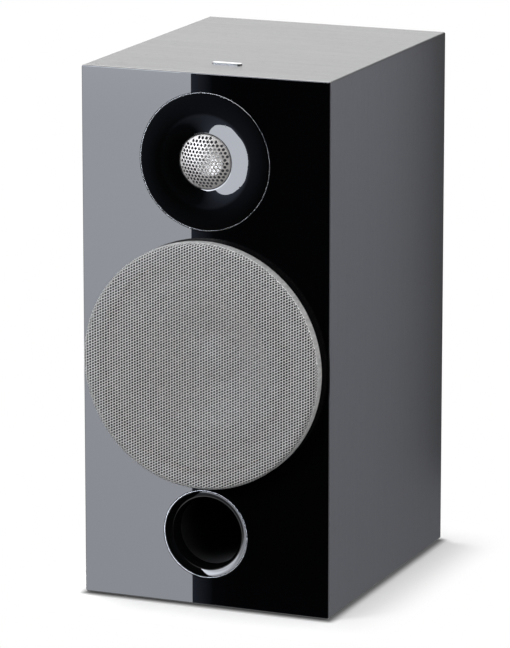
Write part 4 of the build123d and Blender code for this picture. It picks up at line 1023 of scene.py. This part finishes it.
class SPEAKER_OT_tweeter(bpy.types.Operator):
    """Finish the tweeter: gloss faceplate, perforated guard, bright dome and motor"""

    bl_idname = "speaker.tweeter"
    bl_label = "Tweeter"

    def execute(self, context):
        looks = context.scene.speaker_drivers
        edge = reach("tweeter_faceplate") - 0.4 * MM
        gloss = polished_plate("faceplate_gloss", (0.0012, 0.0013, 0.0013), TWEETER, edge)
        dress(gloss, "tweeter_faceplate")
        dress(punched_metal("dome_guard", looks.guard_colour), "tweeter_dome_grille")
        dress(bright_metal("dome_foil", looks.dome_colour, 0.5, line=0.8), "tweeter_dome")
        dress(rubber("dome_surround", looks.rubber_colour), "tweeter_surround")
        steel = turned_metal("tweeter_steel", (0.56, 0.57, 0.58), TWEETER)
        dress(steel, "tweeter_top_plate", "tweeter_yoke")
        body = satin_moulding("tweeter_body", (0.02, 0.02, 0.02))
        dress(body, "tweeter_chassis", "tweeter_rear_chamber")
        return {"FINISHED"}


class SPEAKER_OT_port(bpy.types.Operator):
    """Finish the reflex port: gloss flare and plain tube"""

    bl_idname = "speaker.port"
    bl_label = "Port"

    def execute(self, context):
        edge = reach("port_flare") - 0.5 * MM
        gloss = polished_flare("port_gloss", (0.0018, 0.0019, 0.002), PORT, edge)
        dress(gloss, "port_flare")
        dress(satin_moulding("port_tube", (0.010, 0.010, 0.010), 0.6), "port_tube")
        return {"FINISHED"}


class SPEAKER_OT_terminals(bpy.types.Operator):
    """Finish the terminal cup, its plated posts and its two caps"""

    bl_idname = "speaker.terminals"
    bl_label = "Terminals"

    def execute(self, context):
        looks = context.scene.speaker_terminals
        cup = satin_moulding("terminal_plastic", (0.016, 0.016, 0.016), 0.45)
        dress(cup, "terminal_cup", "post_collars")
        dress(bright_metal("cup_screws", (0.04, 0.04, 0.042), 0.4), "terminal_screws")
        gold = bright_metal("gold_plating", looks.plating_colour, 0.18)
        dress(gold, *(f"{pole}_{part}" for part in ("post", "washer") for pole in POLES))
        for pole in POLES:
            cap = gloss_moulding(f"{pole}_cap", getattr(looks, f"{pole}_colour"))
            dress(cap, f"{pole}_cap")
        return {"FINISHED"}


# The first span below is the floor's painted contact shadow, which fades out over it.
PAINTED_SHADOW_FADE = (-3.0, 9.0)  # millimetres from the speaker over which the floor turns pale
FLOOR_FADE = (4.0, 60.0)  # millimetres from the speaker over which the floor turns white
FLOOR_RADIUS = 14.0  # metres
CARD_DISTANCE = 2.3  # metres from the front of the speaker to the panels before it
CARD_HEIGHTS = (-9.0, 5.0)  # lower and upper edge of those panels, in metres


class SPEAKER_OT_studio(bpy.types.Operator):
    """Set up the pale floor, the lamps, the reflected panels and the camera"""

    bl_idname = "speaker.studio"
    bl_label = "Studio"

    def execute(self, context):
        looks = context.scene.speaker_studio
        scene = context.scene
        camera_data = bpy.data.cameras.new("camera")
        camera = bpy.data.objects.new("camera", camera_data)
        scene.collection.objects.link(camera)
        scene.camera = camera
        camera_data.lens = looks.lens
        camera_data.sensor_width = 36.0
        camera_data.clip_start, camera_data.clip_end = 0.05, 60.0
        azimuth, elevation = looks.camera_azimuth, looks.camera_elevation
        out = math.cos(elevation)
        back = Vector((math.sin(azimuth) * out, -math.cos(azimuth) * out, math.sin(elevation)))
        camera.location = looks.camera_place
        camera.rotation_euler = (-back).to_track_quat("-Z", "Y").to_euler()
        scene.view_settings.view_transform = "Standard"
        self.room(scene, looks)
        self.floor(looks.floor_glow)
        self.lamp("key", (-1.3, -2.2, 1.4), 1.2, 1.2, looks.key_light)
        self.lamp("left", (-0.6, -0.7, 0.55), 0.4, 0.4, looks.left_light)
        self.lamp("right", (0.9, -0.5, 0.6), 0.5, 1.0, looks.side_light)
        self.lamp("overhead", (-0.40, 0.14, 2.5), 0.5, 0.5, looks.top_light)
        self.reflections(looks)
        return {"FINISHED"}

    def room(self, scene, looks):
        """Even light, and a white surround for what looks straight at it or reflects it."""
        world = bpy.data.worlds.new("studio")
        scene.world = world
        world.use_nodes = True
        made = Nodes(world.node_tree)
        light = made.tree.nodes["Background"]
        made.join(light.inputs["Color"], WHITE)
        made.join(light.inputs["Strength"], looks.room_light)
        white = made.node("ShaderNodeBackground", 0, None, {"Color": WHITE, "Strength": 1.0})
        rays = ("Is Camera Ray", "Is Glossy Ray", "Is Transmission Ray")
        seen = made.greatest(*(made.node("ShaderNodeLightPath", ray) for ray in rays))
        lit = {0: seen, 1: light.outputs[0], 2: white}
        mix = made.node("ShaderNodeMixShader", 0, None, lit)
        made.join(made.tree.nodes["World Output"].inputs["Surface"], mix)

    def floor(self, glow):
        """A white floor that keeps the shadow and fades into the room. It has a painted contact
        shadow: its colour and glow are darkened under the speaker and out to 9 mm beyond it."""
        pale = (0.90, 0.90, 0.90)
        made = Finish("floor", pale, {"Roughness": 0.9, "Specular IOR Level": 0.0})
        x, y, _ = made.axes()
        low, high = (corner / MM for corner in cad_box)
        beside = made.greatest(low.x - x, x - high.x, 0.0)
        before = made.greatest(FACE_Y / MM - y, y - high.y, 0.0)
        away = (beside * beside + before * before) ** 0.5
        seen = made.node("ShaderNodeLightPath", "Is Camera Ray")
        # Painted contact shadow: the floor's colour and camera glow are darkened close to the speaker.
        lit = made.eased(away, *PAINTED_SHADOW_FADE)
        made.vary("Base Color", made.mixed(lit, (0.1, 0.1, 0.1), pale))
        made.vary("Emission Color", WHITE)
        made.vary("Emission Strength", seen * lit * glow)
        white = made.node("ShaderNodeEmission", 0, None, {"Color": WHITE, "Strength": seen})
        fade = {0: made.eased(away, *FLOOR_FADE), 1: made.surface.outputs[0], 2: white}
        mix = made.node("ShaderNodeMixShader", 0, None, fade)
        made.join(made.tree.nodes["Material Output"].inputs["Surface"], mix)
        rings = [(radius, 0.0) for radius in (0.0, 0.5, FLOOR_RADIUS)]
        points, faces = lathe(Vector((0, 0, 0)), rings, 0.0, 2 * math.pi, 64)
        plane = make_mesh("floor", [(x, z, 0.0) for x, _, z in points], faces, made.material)
        plane.visible_glossy = False

    def lamp(self, name, place, width, height, power):
        """A large soft lamp that faces the speaker."""
        light = bpy.data.lights.new(name, "AREA")
        light.shape, light.size, light.size_y, light.energy = "RECTANGLE", width, height, power
        made = bpy.data.objects.new(name, light)
        bpy.context.scene.collection.objects.link(made)
        made.location = place
        aim = Vector((0.0, 0.0, 0.2)) - made.location
        made.rotation_euler = aim.to_track_quat("-Z", "Y").to_euler()
        made.visible_camera = False
        made.visible_glossy = False

    def card(self, name, colour, strength, left, right, y, low, high):
        """An upright panel that only shows in polished surfaces. Its glow changes along it
        by steps of (share of its width, strength), and gets weaker downwards."""
        made = Finish(name, BLACK, {"Roughness": 1.0, "Specular IOR Level": 0.0})
        made.vary("Emission Strength", 1.0)
        x, _, z = made.axes()
        steps = [(share, tuple(c * glow for c in colour)) for share, glow in strength]
        along, height = (x * MM - left) / (right - left), z * MM
        ramp = made.node("ShaderNodeValToRGB", "Color", {"stops": steps}, {"Fac": along})
        fall = made.eased(height, -1.6, -0.8) * 0.80 + made.eased(height, -0.8, 0.0) * 0.16
        fall = fall + made.eased(height, -0.1, 0.5) * 1.2 + 0.06
        dim = made.node("ShaderNodeCombineColor", 0, None, {0: fall, 1: fall, 2: fall})
        made.vary("Emission Color", made.mixed(1.0, ramp, dim, "MULTIPLY"))
        corners = [(left, y, low), (right, y, low), (right, y, high), (left, y, high)]
        panel = make_mesh(name, corners, [(0, 1, 2, 3)], made.material, False)
        for ray in ("camera", "diffuse", "shadow", "transmission", "volume_scatter"):
            setattr(panel, f"visible_{ray}", False)

    def reflections(self, looks):
        """Panels that only show in polished surfaces. In front, a bright one on the left
        meets a dark one where the camera sees their joint in the lacquer, at the panel
        edge's distance from the middle. A pale one behind shows in the top, and two on the
        right shade the side towards the back."""
        eye, tall = Vector(looks.camera_place), CARD_HEIGHTS
        share = CARD_DISTANCE / (FACE_Y - eye.y)
        joint = -looks.panel_edge - (eye.x + looks.panel_edge) * share
        y, glow = FACE_Y - CARD_DISTANCE, looks.panel_glow
        rises = [(0.0, 0.6), (0.6, 0.6), (0.84, 0.6), (0.95, 0.95), (1.0, 1.0)]
        bright = [(place, glow * rise) for place, rise in rises]
        dark = [(0.0, 0.50), (0.001, 0.30), (0.002, 0.11), (0.0035, 0.03), (0.006, 0.0)]
        dark += [(0.05, 0.0), (1.0, 0.05)]
        self.card("bright_panel", (0.87, 0.91, 1.0), bright, joint - 9.0, joint, y, *tall)
        self.card("dark_panel", (0.62, 0.72, 1.0), dark, joint, joint + 8.0, y, *tall)
        rear = [(0.0, looks.rear_glow), (1.0, looks.rear_glow)]
        self.card("rear_card", WHITE, rear, -3.0, 0.9, 2.2, 0.4, 3.0)
        shade = [(0.0, 0.0), (0.38, 0.0), (0.5, 0.8), (0.7, 2.6), (1.0, 3.6)]
        self.card("side_card", (0.84, 0.87, 1.0), shade, 0.3, 1.9, 2.2, -3.0, 0.4)
        self.card("black_flag", BLACK, [(0.0, 0.0), (1.0, 0.0)], 0.13, 0.25, 0.34, 0.0, 1.0)


OPERATORS = (
    SPEAKER_OT_cabinet,
    SPEAKER_OT_insides,
    SPEAKER_OT_woofer,
    SPEAKER_OT_surround,
    SPEAKER_OT_grille,
    SPEAKER_OT_tweeter,
    SPEAKER_OT_port,
    SPEAKER_OT_terminals,
    SPEAKER_OT_studio,
)

SETTINGS = {
    "speaker_cabinet": CabinetSettings,
    "speaker_grille": GrilleSettings,
    "speaker_drivers": DriverSettings,
    "speaker_terminals": TerminalSettings,
    "speaker_studio": StudioSettings,
}


class SPEAKER_PT_sidebar(bpy.types.Panel):
    """Settings and steps of the speaker"""

    bl_idname = "SPEAKER_PT_sidebar"
    bl_label = "Bookshelf speaker"
    bl_space_type = "VIEW_3D"
    bl_region_type = "UI"
    bl_category = "Speaker"

    def draw(self, context):
        for name, group in SETTINGS.items():
            settings = getattr(context.scene, name)
            box = self.layout.box()
            for setting in group.__annotations__:
                box.prop(settings, setting)
        for operator in OPERATORS:
            self.layout.operator(operator.bl_idname)


def register():
    for group in (*SETTINGS.values(), *OPERATORS, SPEAKER_PT_sidebar):
        bpy.utils.register_class(group)
    for name, group in SETTINGS.items():
        setattr(bpy.types.Scene, name, PointerProperty(type=group))


def unregister():
    for name in SETTINGS:
        delattr(bpy.types.Scene, name)
    for group in (SPEAKER_PT_sidebar, *reversed(OPERATORS), *reversed(SETTINGS.values())):
        bpy.utils.unregister_class(group)


def main():
    register()
    for operator in OPERATORS:
        group, step = operator.bl_idname.split(".")
        getattr(getattr(bpy.ops, group), step)()


if __name__ == "__main__":
    main()
